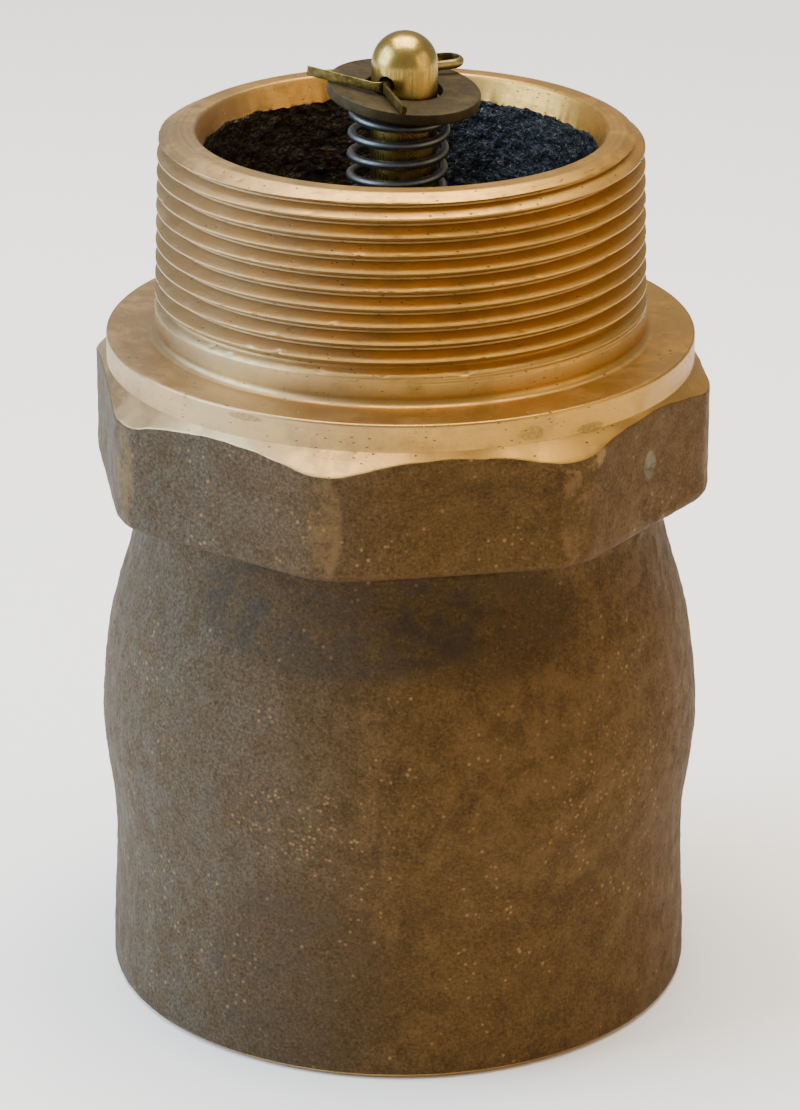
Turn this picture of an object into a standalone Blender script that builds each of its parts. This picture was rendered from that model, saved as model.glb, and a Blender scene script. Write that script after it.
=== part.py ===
"""Spring-loaded bronze foot valve with 3 inch pipe threads, standing on its outlet end.

The inlet is the male-threaded end on top, the outlet the female-threaded end below. A spring under the
washer on the stem pulls the rubber-faced poppet up against its seat; flow pushes the poppet down.
Units are metres, +Z is up, and the origin is the centre of the outlet face.
"""

import math

import bmesh
import bpy
from mathutils import Matrix, Vector

MM = 0.001
INCH = 0.0254

# ---- driving dimensions -------------------------------------------------------------------------
GAP = 0.3 * MM  # kept between pieces that touch on the real valve
SEGMENTS = 32  # round the large pieces; a multiple of 16, so that the wrench flats meet on a column
SMALL_SEGMENTS = 24  # round the small turned pieces

HEIGHT = 163.2 * MM  # outlet face to inlet face
PITCH = INCH / 8  # 3 inch NPT, 8 threads per inch
THREAD_DEPTH = 0.8 * PITCH
NPT_SLOPE = 1 / 32  # growth of the radius along the axis
MALE_END_RADIUS = 43.7 * MM  # thread crests at the inlet face
FEMALE_END_RADIUS = 44.45 * MM  # thread roots at the outlet face
MALE_TURNS = 9
FEMALE_TURNS = 9

BORE_RADIUS = 35.5 * MM  # as-cast inlet bore
MOUTH_RADIUS = 37.4 * MM  # top of the cone turned in the mouth of the inlet bore
MOUTH_DEPTH = 4.2 * MM
INLET_FACE_RADIUS = 40.3 * MM

FLANGE_RADIUS = 53.3 * MM  # round shoulder under the male thread
FLANGE_TOP = 125.8 * MM
FLANGE_BOTTOM = 121.2 * MM
OCTAGON_APOTHEM = 53.5 * MM  # half the size across the eight wrench flats
OCTAGON_BOTTOM = 98.6 * MM
CHAMFER_SLOPE = math.tan(math.radians(33))  # turned cone over the octagon's corners

POCKET_RADIUS = 40.6 * MM  # bored from the outlet side for the guide and the seat ring
POCKET_BOTTOM = 87.0 * MM
POCKET_TOP = 104.6 * MM
SOCKET_DEPTH = 36.0 * MM

RING_RADIUS = POCKET_RADIUS - GAP
SEAT_BORE_RADIUS = 33.0 * MM
SEAT_FACE = 86.8 * MM
SEAT_RING_TOP = 97.0 * MM
GASKET_THICKNESS = 1.0 * MM
SPIDER_RIM_RADIUS = 35.0 * MM  # inside of the guide's rim
HUB_RADIUS = 10.5 * MM
HUB_BOTTOM = 99.5 * MM
HUB_TOP = 122.0 * MM
ARM_WIDTH = 6.0 * MM
ARM_COUNT = 3
BUSH_RADIUS = 7.6 * MM
RUNNING_GAP = 0.1 * MM

STEM_RADIUS = 15 / 64 * INCH
STEM_TOP = 180.8 * MM
STEM_SHOULDER = 89.6 * MM  # where the stem steps down to its threaded tail
TAIL_RADIUS = 3 / 16 * INCH
TAIL_END = 58.5 * MM

PIN_RADIUS = 0.92 * MM  # the two legs of the split pin together
PIN_HOLE_RADIUS = 1.65 * MM
PIN_AZIMUTH = math.radians(226.4)  # the way the legs come out
PIN_HEIGHT = 172.1 * MM  # where the pin crosses the stem's axis
PIN_SLOPE = math.radians(1.0)  # the eye end sits higher

WASHER_RADIUS = 13.8 * MM
WASHER_HOLE_RADIUS = 6.9 * MM
WASHER_THICKNESS = 2.1 * MM
WASHER_TOP = 170.65 * MM  # on the axis
WASHER_TILT = math.radians(7.5)  # the loose washer rocks on the split pin
WASHER_TILT_AZIMUTH = math.radians(306.4)  # the side that hangs low

SPRING_WIRE_RADIUS = 0.8 * MM
SPRING_RADIUS = 8.4 * MM
SPRING_SEAT_BOTTOM = 123.8 * MM
SPRING_SEAT_THICKNESS = 1.5 * MM
SPRING_TURNS = 12.25
SPRING_BOW = 0.9 * MM  # sideways sag at mid length
SPRING_BOW_AZIMUTH = math.radians(165)
SPRING_START = 0.43  # where the wire begins, in turns round the axis

RETAINER_RADIUS = 30.0 * MM
RETAINER_THICKNESS = 2.5 * MM
SEAT_DISC_RADIUS = 37.4 * MM
SEAT_DISC_THICKNESS = 4.0 * MM
POPPET_RADIUS = 39.2 * MM
POPPET_RIM = 85.5 * MM
POPPET_BOTTOM = 74.0 * MM
NUT_ACROSS_FLATS = 9 / 16 * INCH
NUT_HEIGHT = 8.3 * MM
LOCK_WASHER_THICKNESS = 2.2 * MM
PLAIN_WASHER_RADIUS = 10.5 * MM
PLAIN_WASHER_THICKNESS = 1.6 * MM


# ---- shared tools -------------------------------------------------------------------------------
def clear_scene():
    for obj in list(bpy.data.objects):
        bpy.data.objects.remove(obj)


def material(name, color, roughness, metallic):
    made = bpy.data.materials.new(name)
    made.use_nodes = True
    shader = made.node_tree.nodes["Principled BSDF"]
    shader.inputs["Base Color"].default_value = (*color, 1)
    shader.inputs["Roughness"].default_value = roughness
    shader.inputs["Metallic"].default_value = metallic
    made.diffuse_color = (*color, 1)
    return made


def new_object(name, bm, surface, helper=False):
    """An object made from bm, with its material, shaded smooth between its sharp edges."""
    mesh = bpy.data.meshes.new(name)
    bm.to_mesh(mesh)
    bm.free()
    mesh.materials.append(surface)
    mesh.shade_smooth()
    mesh.set_sharp_from_angle(angle=math.radians(35))
    obj = bpy.data.objects.new(name, mesh)
    bpy.context.scene.collection.objects.link(obj)
    if helper:
        obj.hide_render = True
        obj.display_type = "WIRE"
    return obj


def boolean(obj, tool, operation):
    step = obj.modifiers.new(tool.name, "BOOLEAN")
    step.operation = operation
    step.object = tool
    step.solver = "EXACT"


def polar(radius, angle, z):
    return Vector((radius * math.cos(angle), radius * math.sin(angle), z))


def add_row(bm, row):
    """Vertices round the axis from a list of (radius, z), one for each segment."""
    step = 2 * math.pi / len(row)
    return [bm.verts.new(polar(r, j * step, z)) for j, (r, z) in enumerate(row)]


def bridge(bm, first, second):
    """Quads between two rows. They face outwards when second lies above first on an outer wall."""
    count = len(first)
    for j in range(count):
        k = (j + 1) % count
        bm.faces.new((first[j], first[k], second[k], second[j]))


def turned(name, outline, surface, segments=SMALL_SEGMENTS, helper=False):
    """A ring from a closed outline of (radius, z): up its outer side, then down its bore."""
    bm = bmesh.new()
    rows = [add_row(bm, [point] * segments) for point in outline]
    for first, second in zip(rows, rows[1:] + rows[:1]):
        bridge(bm, first, second)
    return new_object(name, bm, surface, helper)


def turned_solid(name, outline, surface):
    """A turned piece with no bore: the outline climbs its side, and its two ends are capped."""
    bm = bmesh.new()
    rows = [add_row(bm, [point] * SMALL_SEGMENTS) for point in outline]
    for first, second in zip(rows, rows[1:]):
        bridge(bm, first, second)
    bm.faces.new(rows[0][::-1])
    bm.faces.new(rows[-1])
    return new_object(name, bm, surface)


def arc(centre_r, centre_z, radius, start, end, steps):
    """Outline points on an arc; angles in degrees, 0 away from the axis and 90 up."""
    angles = [math.radians(start + (end - start) * i / steps) for i in range(steps + 1)]
    return [(centre_r + radius * math.cos(a), centre_z + radius * math.sin(a)) for a in angles]


def cylinder_along(name, radius, half_length, azimuth, z, surface):
    """A helper cylinder lying level through the axis."""
    bm = bmesh.new()
    bmesh.ops.create_cone(
        bm, cap_ends=True, segments=24, radius1=radius, radius2=radius, depth=2 * half_length
    )
    turn = Matrix.Rotation(azimuth, 4, "Z") @ Matrix.Rotation(math.pi / 2, 4, "Y")
    bmesh.ops.transform(bm, matrix=Matrix.Translation((0, 0, z)) @ turn, verts=bm.verts)
    return new_object(name, bm, surface, helper=True)


# ---- the body casting ---------------------------------------------------------------------------
def cut_thread(bm, low, high, z_start, turns, crest_radius, root_step, inner=False):
    """A right-hand V thread between the plain rows low and high, its turns joined in one helix.

    Two rows a turn, a root and a crest, climb by one pitch round the axis, so row i ends where row
    i + 2 begins. The roots fade in and out over one turn.
    """
    per_turn = 2
    last = per_turn * turns

    def point(i, j):
        along = i / per_turn + j / SEGMENTS
        z = z_start + PITCH * along
        depth = root_step * min(1, along, turns + 1 - along)
        radius = crest_radius(z) + (depth if i % per_turn == 0 else 0)
        return bm.verts.new(polar(radius, 2 * math.pi * j / SEGMENTS, z))

    grid = [[point(i, j) for j in range(SEGMENTS)] for i in range(last + 1)]
    spill = [point(i, SEGMENTS) for i in range(last - per_turn + 1, last + 1)]

    def at(i, j):
        if j < SEGMENTS:
            return grid[i][j]
        return grid[i + per_turn][0] if i + per_turn <= last else spill[i + per_turn - last - 1]

    faces = []
    for i in range(last):
        for j in range(SEGMENTS):
            faces.append([at(i, j), at(i, j + 1), at(i + 1, j + 1), at(i + 1, j)])
    for j in range(SEGMENTS - 1):
        faces.append([low[j], low[j + 1], grid[0][j + 1], grid[0][j]])
    first_step = [grid[i][0] for i in range(per_turn + 1)]
    faces.append([low[-1], low[0], *first_step, grid[0][-1]])
    faces.append([grid[last][0], grid[last][1], high[1], high[0], *spill[::-1]])
    for j in range(1, SEGMENTS):
        faces.append([grid[last][j], at(last, j + 1), high[(j + 1) % SEGMENTS], high[j]])
    for corners in faces:
        bm.faces.new(corners[::-1] if inner else corners)


def octagon_radius(j, shrink=0.0):
    """Distance of the octagon's edge from the axis at segment j; flats face X, Y and between."""
    angle = 2 * math.pi * j / SEGMENTS
    flat = math.pi / 4
    return (OCTAGON_APOTHEM - shrink) / math.cos((angle + flat / 2) % flat - flat / 2)


def octagon_row(z, shrink=0.0):
    return [(octagon_radius(j, shrink), z) for j in range(SEGMENTS)]


def chamfered_octagon_row():
    """The top edge of the wrench flats, where the turned cone cuts the octagon."""
    radii = [octagon_radius(j) for j in range(SEGMENTS)]
    return [(r, FLANGE_BOTTOM - (r - FLANGE_RADIUS) * CHAMFER_SLOPE) for r in radii]


def male_crest(z):
    return MALE_END_RADIUS + (HEIGHT - z) * NPT_SLOPE


def female_crest(z):
    return FEMALE_END_RADIUS - THREAD_DEPTH - z * NPT_SLOPE


def build_body(surface):
    """The one-piece bronze casting: outlet socket, bulged chamber, octagon and inlet thread."""
    outside = [
        (53.4, 0),
        (54.6, 1.2),
        (53.7, 22),
        (53.8, 34),
        (54.9, 42),
        (55.7, 51),
        (55.3, 59),
        (53.6, 70),
        (50.4, 82),
        (47.7, 93),
        (50.0, 97.2),
    ]
    shoulder = [(47.4, 125.8), (45.6, 126.5), (44.9, 128.2)]
    chamber = [
        (POCKET_RADIUS / MM, POCKET_BOTTOM / MM),
        (44.8, 80),
        (47.4, 70),
        (48.9, 59),
        (48.9, 50),
        (44.9, 40.5),
    ]
    male_start = 129.4 * MM
    male_top = HEIGHT - 1.7 * MM
    female_start = 2.6 * MM

    bm = bmesh.new()

    def ring(r, z):
        return add_row(bm, [(r, z)] * SEGMENTS)

    rows = [ring(r * MM, z * MM) for r, z in outside]
    rows.append(add_row(bm, octagon_row(OCTAGON_BOTTOM - 1.2 * MM, 1.5 * MM)))
    rows.append(add_row(bm, octagon_row(OCTAGON_BOTTOM)))
    rows.append(add_row(bm, chamfered_octagon_row()))
    rows.append(ring(FLANGE_RADIUS, FLANGE_BOTTOM))
    rows.append(ring(FLANGE_RADIUS, FLANGE_TOP - 0.6 * MM))
    rows.append(ring(FLANGE_RADIUS - 0.6 * MM, FLANGE_TOP))
    rows += [ring(r * MM, z * MM) for r, z in shoulder]
    thread_foot = ring(male_crest(male_start), male_start - 0.3 * MM)
    rows.append(thread_foot)
    for first, second in zip(rows, rows[1:]):
        bridge(bm, first, second)

    thread_head = ring(male_crest(male_top), male_top)
    cut_thread(bm, thread_foot, thread_head, male_start, MALE_TURNS, male_crest, -THREAD_DEPTH)

    rows = [
        thread_head,
        ring(INLET_FACE_RADIUS, HEIGHT),
        ring(MOUTH_RADIUS, HEIGHT),
        ring(BORE_RADIUS, HEIGHT - MOUTH_DEPTH),
        ring(BORE_RADIUS, POCKET_TOP),
        ring(POCKET_RADIUS, POCKET_TOP),
    ]
    rows += [ring(r * MM, z * MM) for r, z in chamber]
    socket_end = ring(female_crest(SOCKET_DEPTH), SOCKET_DEPTH + 1.2 * MM)
    rows.append(socket_end)
    for first, second in zip(rows, rows[1:]):
        bridge(bm, first, second)

    socket_mouth = ring(FEMALE_END_RADIUS - THREAD_DEPTH, 2.3 * MM)
    cut_thread(
        bm, socket_mouth, socket_end, female_start, FEMALE_TURNS, female_crest, THREAD_DEPTH, True
    )
    mouth = ring(46.0 * MM, 0)
    bridge(bm, socket_mouth, mouth)
    bottom = bm.verts[:SEGMENTS]
    bridge(bm, mouth, bottom)
    return new_object("valve_body", bm, surface)


# ---- guide and seat -----------------------------------------------------------------------------
def build_seat_ring(surface):
    """Screwed up into the pocket from the outlet side; a raised lip round its bore is the seat."""
    lip = 2.5 * MM
    body_bottom = SEAT_FACE + 1.2 * MM
    outline = [
        (SEAT_BORE_RADIUS + lip + 1.2 * MM, body_bottom),
        (RING_RADIUS - 0.8 * MM, body_bottom),
        (RING_RADIUS, body_bottom + 0.8 * MM),
        (RING_RADIUS, SEAT_RING_TOP),
        (SEAT_BORE_RADIUS + 0.5 * MM, SEAT_RING_TOP),
        (SEAT_BORE_RADIUS, SEAT_RING_TOP - 0.5 * MM),
        (SEAT_BORE_RADIUS, SEAT_FACE),
        (SEAT_BORE_RADIUS + lip, SEAT_FACE),
    ]
    ring = turned("seat_ring", outline, surface, SEGMENTS)
    for number in range(4):
        bm = bmesh.new()
        bmesh.ops.create_cube(bm, size=1)
        size = Matrix.Diagonal((6 * MM, 4 * MM, 3 * MM, 1))
        place = Matrix.Translation(polar(RING_RADIUS, 0, body_bottom))
        turn = Matrix.Rotation(math.radians(45 + 90 * number), 4, "Z")
        bmesh.ops.transform(bm, matrix=turn @ place @ size, verts=bm.verts)
        slot = new_object(f"spanner_slot_cutter_{number}", bm, surface, helper=True)
        boolean(ring, slot, "DIFFERENCE")


def build_seat_gasket(surface):
    bottom = SEAT_RING_TOP + GAP
    top = bottom + GASKET_THICKNESS
    inner = SPIDER_RIM_RADIUS
    outline = [(RING_RADIUS, bottom), (RING_RADIUS, top), (inner, top), (inner, bottom)]
    turned("seat_gasket", outline, surface, SEGMENTS)


def build_guide_spider(surface):
    """The stem guide: a rim clamped above the seat ring, three webs and a tall hub."""
    rim_bottom = SEAT_RING_TOP + GASKET_THICKNESS + 2 * GAP
    rim_top = POCKET_TOP - GAP
    outline = [
        (RING_RADIUS, rim_bottom),
        (RING_RADIUS, rim_top),
        (SPIDER_RIM_RADIUS, rim_top),
        (SPIDER_RIM_RADIUS, rim_bottom),
    ]
    spider = turned("guide_spider", outline, surface, SEGMENTS)
    bore = BUSH_RADIUS + GAP
    hub_outline = [
        (HUB_RADIUS, HUB_BOTTOM),
        (HUB_RADIUS, HUB_TOP - 1 * MM),
        (HUB_RADIUS - 1 * MM, HUB_TOP),
        (bore, HUB_TOP),
        (bore, HUB_BOTTOM),
    ]
    hub = turned("spider_hub", hub_outline, surface, SMALL_SEGMENTS, helper=True)
    half = ARM_WIDTH / 2
    start = bore + 1.2 * MM
    end = (SPIDER_RIM_RADIUS + RING_RADIUS) / 2
    web = [
        (start, HUB_BOTTOM + 0.8 * MM),
        (end, rim_bottom + 0.8 * MM),
        (end, rim_top - 0.8 * MM),
        (SPIDER_RIM_RADIUS - 3 * MM, rim_top + 1.5 * MM),
        (start, HUB_TOP - 5 * MM),
    ]
    for number in range(ARM_COUNT):
        bm = bmesh.new()
        sides = [[bm.verts.new((r, y, z)) for r, z in web] for y in (-half, half)]
        bm.faces.new(sides[0])
        bm.faces.new(sides[1][::-1])
        for i in range(len(web)):
            k = (i + 1) % len(web)
            bm.faces.new((sides[0][k], sides[0][i], sides[1][i], sides[1][k]))
        turn = Matrix.Rotation(math.radians(90 + 360 / ARM_COUNT * number), 4, "Z")
        bmesh.ops.transform(bm, matrix=turn, verts=bm.verts)
        boolean(spider, new_object(f"spider_web_{number}", bm, surface, helper=True), "UNION")
    boolean(spider, hub, "UNION")


def build_guide_bushing(surface):
    bore = STEM_RADIUS + RUNNING_GAP
    flange_bottom = HUB_TOP + GAP
    flange_top = SPRING_SEAT_BOTTOM - GAP
    flange_radius = BUSH_RADIUS + 1.9 * MM
    outline = [
        (BUSH_RADIUS, HUB_BOTTOM + 0.5 * MM),
        (BUSH_RADIUS, flange_bottom),
        (flange_radius, flange_bottom),
        (flange_radius, flange_top),
        (bore, flange_top),
        (bore, HUB_BOTTOM + 0.5 * MM),
    ]
    turned("guide_bushing", outline, surface)


# ---- the stem and what hangs on it --------------------------------------------------------------
def build_stem(surface):
    """The brass stem: threaded tail below, plain shank, round nose, and the split pin's hole."""
    dome = arc(0, STEM_TOP - STEM_RADIUS, STEM_RADIUS, 0, 84, 7)
    outline = [
        (TAIL_RADIUS - 1 * MM, TAIL_END),
        (TAIL_RADIUS, TAIL_END + 1 * MM),
        (TAIL_RADIUS, STEM_SHOULDER),
        (STEM_RADIUS, STEM_SHOULDER),
        *dome,
    ]
    stem = turned_solid("valve_stem", outline, surface)
    drill = cylinder_along(
        "pin_hole_cutter", PIN_HOLE_RADIUS, 2 * STEM_RADIUS, PIN_AZIMUTH, PIN_HEIGHT, surface
    )
    boolean(stem, drill, "DIFFERENCE")


def tilt_about_axis(tilt, azimuth, z):
    """Leans a piece so that its side at that azimuth drops, turning about the axis at height z."""
    hinge = Vector((-math.sin(azimuth), math.cos(azimuth), 0))
    lean = Matrix.Rotation(tilt, 4, hinge)
    return Matrix.Translation((0, 0, z)) @ lean @ Matrix.Translation((0, 0, -z))


def build_retainer_washer(surface):
    """The large washer that the spring lifts against the split pin. It rocks on the pin."""
    edge = 0.25 * MM
    bottom = WASHER_TOP - WASHER_THICKNESS
    outline = [
        (WASHER_RADIUS - edge, bottom),
        (WASHER_RADIUS, bottom + edge),
        (WASHER_RADIUS, WASHER_TOP - edge),
        (WASHER_RADIUS - edge, WASHER_TOP),
        (WASHER_HOLE_RADIUS, WASHER_TOP),
        (WASHER_HOLE_RADIUS, bottom),
    ]
    washer = turned("retainer_washer", outline, surface, SEGMENTS)
    washer.data.transform(tilt_about_axis(WASHER_TILT, WASHER_TILT_AZIMUTH, WASHER_TOP))


def leg_path(side, bend, length, rise):
    """Inner-face points of one leg, from its tip to the stem, in the pin's own plane."""
    root = STEM_RADIUS + 0.4 * MM
    bend_radius = 1.6 * MM
    half_split = 0.06 * MM
    steps = 4
    curve = []
    for i in range(steps + 1):
        turned_by = math.radians(bend) * i / steps
        along = root + bend_radius * math.sin(turned_by)
        across = half_split + bend_radius * (1 - math.cos(turned_by))
        curve.append(Vector((along, side * across, 0)))
    way = Vector((math.cos(math.radians(bend)), side * math.sin(math.radians(bend)), 0))
    tip = curve[-1] + way * length + Vector((0, 0, rise))
    middle = (curve[-1] + tip) / 2
    return [tip, middle, *curve[::-1]]


def pin_path():
    """The whole inner face of the split pin: leg, eye and leg, x along the pin towards its legs."""
    eye_centre = -(STEM_RADIUS + 7.6 * MM)
    eye_radius = 2.25 * MM
    neck = -(STEM_RADIUS + 3.35 * MM)
    half_split = 0.06 * MM
    tangent = math.degrees(math.acos(eye_radius / (neck - eye_centre)))
    steps = 12
    eye = []
    for i in range(steps + 1):
        angle = math.radians(tangent + (360 - 2 * tangent) * i / steps)
        eye.append(Vector((eye_centre, 0, 0)) + polar(eye_radius, angle, 0))
    first = leg_path(1, 55.7, 8.86 * MM, -1.53 * MM)
    second = leg_path(-1, 82.2, 13.1 * MM, 1.35 * MM)
    through = [Vector((neck, half_split, 0)), *eye, Vector((neck, -half_split, 0))]
    return first + through + second[::-1]


def build_cotter_pin(surface):
    """Half-round wire folded into an eye, its legs spread in front of the stem."""
    path = pin_path()
    arc_steps = 6
    angles = [math.pi * i / arc_steps for i in range(arc_steps + 1)]
    bm = bmesh.new()
    sections = []
    for i, point in enumerate(path):
        before = path[max(i - 1, 0)]
        after = path[min(i + 1, len(path) - 1)]
        ahead = (after - before).normalized()
        outward = ahead.cross(Vector((0, 0, 1))).normalized()
        up = outward.cross(ahead).normalized()
        if up.z < 0:
            up = -up
        offsets = [outward * math.sin(a) + up * math.cos(a) for a in angles]
        sections.append([bm.verts.new(point + offset * PIN_RADIUS) for offset in offsets])
    count = len(angles)
    for first, second in zip(sections, sections[1:]):
        for j in range(count):
            k = (j + 1) % count
            bm.faces.new((first[j], first[k], second[k], second[j]))
    bm.faces.new(sections[0][::-1])
    bm.faces.new(sections[-1])
    bmesh.ops.recalc_face_normals(bm, faces=bm.faces)
    turn = Matrix.Rotation(PIN_AZIMUTH, 4, "Z") @ Matrix.Rotation(PIN_SLOPE, 4, "Y")
    bmesh.ops.transform(bm, matrix=Matrix.Translation((0, 0, PIN_HEIGHT)) @ turn, verts=bm.verts)
    new_object("cotter_pin", bm, surface)


def build_spring(surface):
    """The return spring: closed end coils, even pitch between, its top coil under the tilted washer."""
    per_turn = 12
    sides = 6
    bottom = SPRING_SEAT_BOTTOM + SPRING_SEAT_THICKNESS + GAP + SPRING_WIRE_RADIUS
    washer_drop = math.tan(WASHER_TILT) * (SPRING_RADIUS + SPRING_WIRE_RADIUS)
    top = WASHER_TOP - WASHER_THICKNESS / math.cos(WASHER_TILT) - GAP - SPRING_WIRE_RADIUS
    closed_rise = 2 * SPRING_WIRE_RADIUS + 0.15 * MM
    active_turns = SPRING_TURNS - 2
    active_rise = (top - bottom - 2 * closed_rise) / active_turns
    slide = Vector((math.cos(SPRING_BOW_AZIMUTH), math.sin(SPRING_BOW_AZIMUTH), 0))
    low_side = Vector((math.cos(WASHER_TILT_AZIMUTH), math.sin(WASHER_TILT_AZIMUTH), 0))

    def height(turn):
        if turn < 1:
            return bottom + closed_rise * turn
        if turn > SPRING_TURNS - 1:
            return top - closed_rise * (SPRING_TURNS - turn)
        return bottom + closed_rise + active_rise * (turn - 1)

    bm = bmesh.new()
    sections = []
    count = round(SPRING_TURNS * per_turn)
    for i in range(count + 1):
        turn = i / per_turn
        angle = 2 * math.pi * (turn + SPRING_START)
        share = turn / SPRING_TURNS
        outward = Vector((math.cos(angle), math.sin(angle), 0))
        centre = outward * SPRING_RADIUS + slide * SPRING_BOW * math.sin(math.pi * share)
        lean = max(0.0, 2 * share - 1) * washer_drop / SPRING_RADIUS
        centre.z = height(turn) - lean * centre.dot(low_side)
        ring = []
        for j in range(sides):
            around = 2 * math.pi * j / sides
            offset = outward * math.cos(around) + Vector((0, 0, math.sin(around)))
            ring.append(bm.verts.new(centre + offset * SPRING_WIRE_RADIUS))
        sections.append(ring)
    for first, second in zip(sections, sections[1:]):
        for j in range(sides):
            k = (j + 1) % sides
            bm.faces.new((first[j], second[j], second[k], first[k]))
    bm.faces.new(sections[0])
    bm.faces.new(sections[-1][::-1])
    bmesh.ops.recalc_face_normals(bm, faces=bm.faces)
    new_object("return_spring", bm, surface)


def build_spring_seat(surface):
    bottom = SPRING_SEAT_BOTTOM
    top = bottom + SPRING_SEAT_THICKNESS
    outer = SPRING_RADIUS + 2.6 * MM
    inner = STEM_RADIUS + 0.6 * MM
    turned("spring_seat_washer", [(outer, bottom), (outer, top), (inner, top), (inner, bottom)], surface)


# ---- the poppet ---------------------------------------------------------------------------------
def build_poppet(bronze, rubber, brass):
    """Retainer plate, rubber seat disc and poppet disc, threaded on the stem's tail in that order."""
    hole = TAIL_RADIUS + GAP
    plate_top = STEM_SHOULDER - GAP
    plate_bottom = plate_top - RETAINER_THICKNESS
    edge = 0.8 * MM
    plate = [
        (RETAINER_RADIUS, plate_bottom),
        (RETAINER_RADIUS, plate_top - edge),
        (RETAINER_RADIUS - edge, plate_top),
        (hole, plate_top),
        (hole, plate_bottom),
    ]
    turned("disc_retainer", plate, brass, SEGMENTS)

    disc_top = SEAT_FACE - GAP
    disc_bottom = disc_top - SEAT_DISC_THICKNESS
    disc = [
        (SEAT_DISC_RADIUS, disc_bottom),
        (SEAT_DISC_RADIUS, disc_top),
        (hole, disc_top),
        (hole, disc_bottom),
    ]
    turned("seat_disc", disc, rubber, SEGMENTS)

    floor = disc_bottom - GAP
    recess = SEAT_DISC_RADIUS + GAP
    boss = 12.0 * MM
    poppet = [
        (boss, POPPET_BOTTOM),
        (boss + 2 * MM, POPPET_BOTTOM + 3.5 * MM),
        (POPPET_RADIUS - 3.5 * MM, POPPET_BOTTOM + 4.5 * MM),
        (POPPET_RADIUS, POPPET_BOTTOM + 6.5 * MM),
        (POPPET_RADIUS, POPPET_RIM - 0.4 * MM),
        (POPPET_RADIUS - 0.4 * MM, POPPET_RIM),
        (recess, POPPET_RIM),
        (recess, floor),
        (hole, floor),
        (hole, POPPET_BOTTOM),
    ]
    turned("poppet_disc", poppet, bronze, SEGMENTS)


def build_plain_washer(surface):
    """Flat washer that spreads the nut's load over the poppet's boss."""
    top = POPPET_BOTTOM - GAP
    bottom = top - PLAIN_WASHER_THICKNESS
    outer = PLAIN_WASHER_RADIUS
    inner = TAIL_RADIUS + GAP
    turned("plain_washer", [(outer, bottom), (outer, top), (inner, top), (inner, bottom)], surface)


def build_lock_washer(surface):
    """A split spring washer between the plain washer and the nut."""
    top = POPPET_BOTTOM - 2 * GAP - PLAIN_WASHER_THICKNESS
    bottom = top - LOCK_WASHER_THICKNESS
    outer = TAIL_RADIUS + 4.0 * MM
    inner = TAIL_RADIUS + GAP
    ring = turned(
        "lock_washer", [(outer, bottom), (outer, top), (inner, top), (inner, bottom)], surface
    )
    bm = bmesh.new()
    bmesh.ops.create_cube(bm, size=1)
    size = Matrix.Diagonal((8 * MM, 0.8 * MM, 6 * MM, 1))
    lean = Matrix.Rotation(math.radians(20), 4, "X")
    place = Matrix.Translation((TAIL_RADIUS + 3 * MM, 0, (top + bottom) / 2))
    bmesh.ops.transform(bm, matrix=place @ lean @ size, verts=bm.verts)
    boolean(ring, new_object("lock_washer_split", bm, surface, helper=True), "DIFFERENCE")


def build_nut(surface):
    """The hexagon nut that clamps the poppet to the stem, its corners chamfered at both ends."""
    top = POPPET_BOTTOM - 3 * GAP - PLAIN_WASHER_THICKNESS - LOCK_WASHER_THICKNESS
    bottom = top - NUT_HEIGHT
    segments = 24
    flat = math.pi / 3
    apothem = NUT_ACROSS_FLATS / 2
    slope = math.tan(math.radians(30))
    angles = [2 * math.pi * j / segments for j in range(segments)]
    radii = [apothem / math.cos((a + flat / 2) % flat - flat / 2) for a in angles]
    hole = TAIL_RADIUS + GAP
    bm = bmesh.new()
    face = apothem * 0.96
    rows = [
        [(face, bottom)] * segments,
        [(r, bottom + (r - face) * slope) for r in radii],
        [(r, top - (r - face) * slope) for r in radii],
        [(face, top)] * segments,
        [(hole, top)] * segments,
        [(hole, bottom)] * segments,
    ]
    rows = [add_row(bm, row) for row in rows]
    for first, second in zip(rows, rows[1:] + rows[:1]):
        bridge(bm, first, second)
    new_object("disc_nut", bm, surface)


def main():
    clear_scene()
    bronze = material("cast_bronze", (0.22, 0.14, 0.07), 0.65, 0.8)
    brass = material("brass", (0.60, 0.42, 0.16), 0.3, 1.0)
    dull_brass = material("aged_brass", (0.32, 0.24, 0.14), 0.5, 0.9)
    steel = material("stainless_steel", (0.45, 0.46, 0.47), 0.35, 1.0)
    rubber = material("black_rubber", (0.02, 0.02, 0.02), 0.8, 0.0)
    fibre = material("fibre_gasket", (0.35, 0.10, 0.06), 0.9, 0.0)

    build_body(bronze)
    build_seat_ring(brass)
    build_seat_gasket(fibre)
    build_guide_spider(bronze)
    build_guide_bushing(brass)
    build_spring_seat(dull_brass)
    build_spring(steel)
    build_stem(brass)
    build_retainer_washer(dull_brass)
    build_cotter_pin(brass)
    build_poppet(bronze, rubber, brass)
    build_plain_washer(brass)
    build_lock_washer(steel)
    build_nut(brass)


main()
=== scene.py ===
import math

import bmesh
import bpy
import numpy as np
from mathutils import Matrix, Vector


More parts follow.
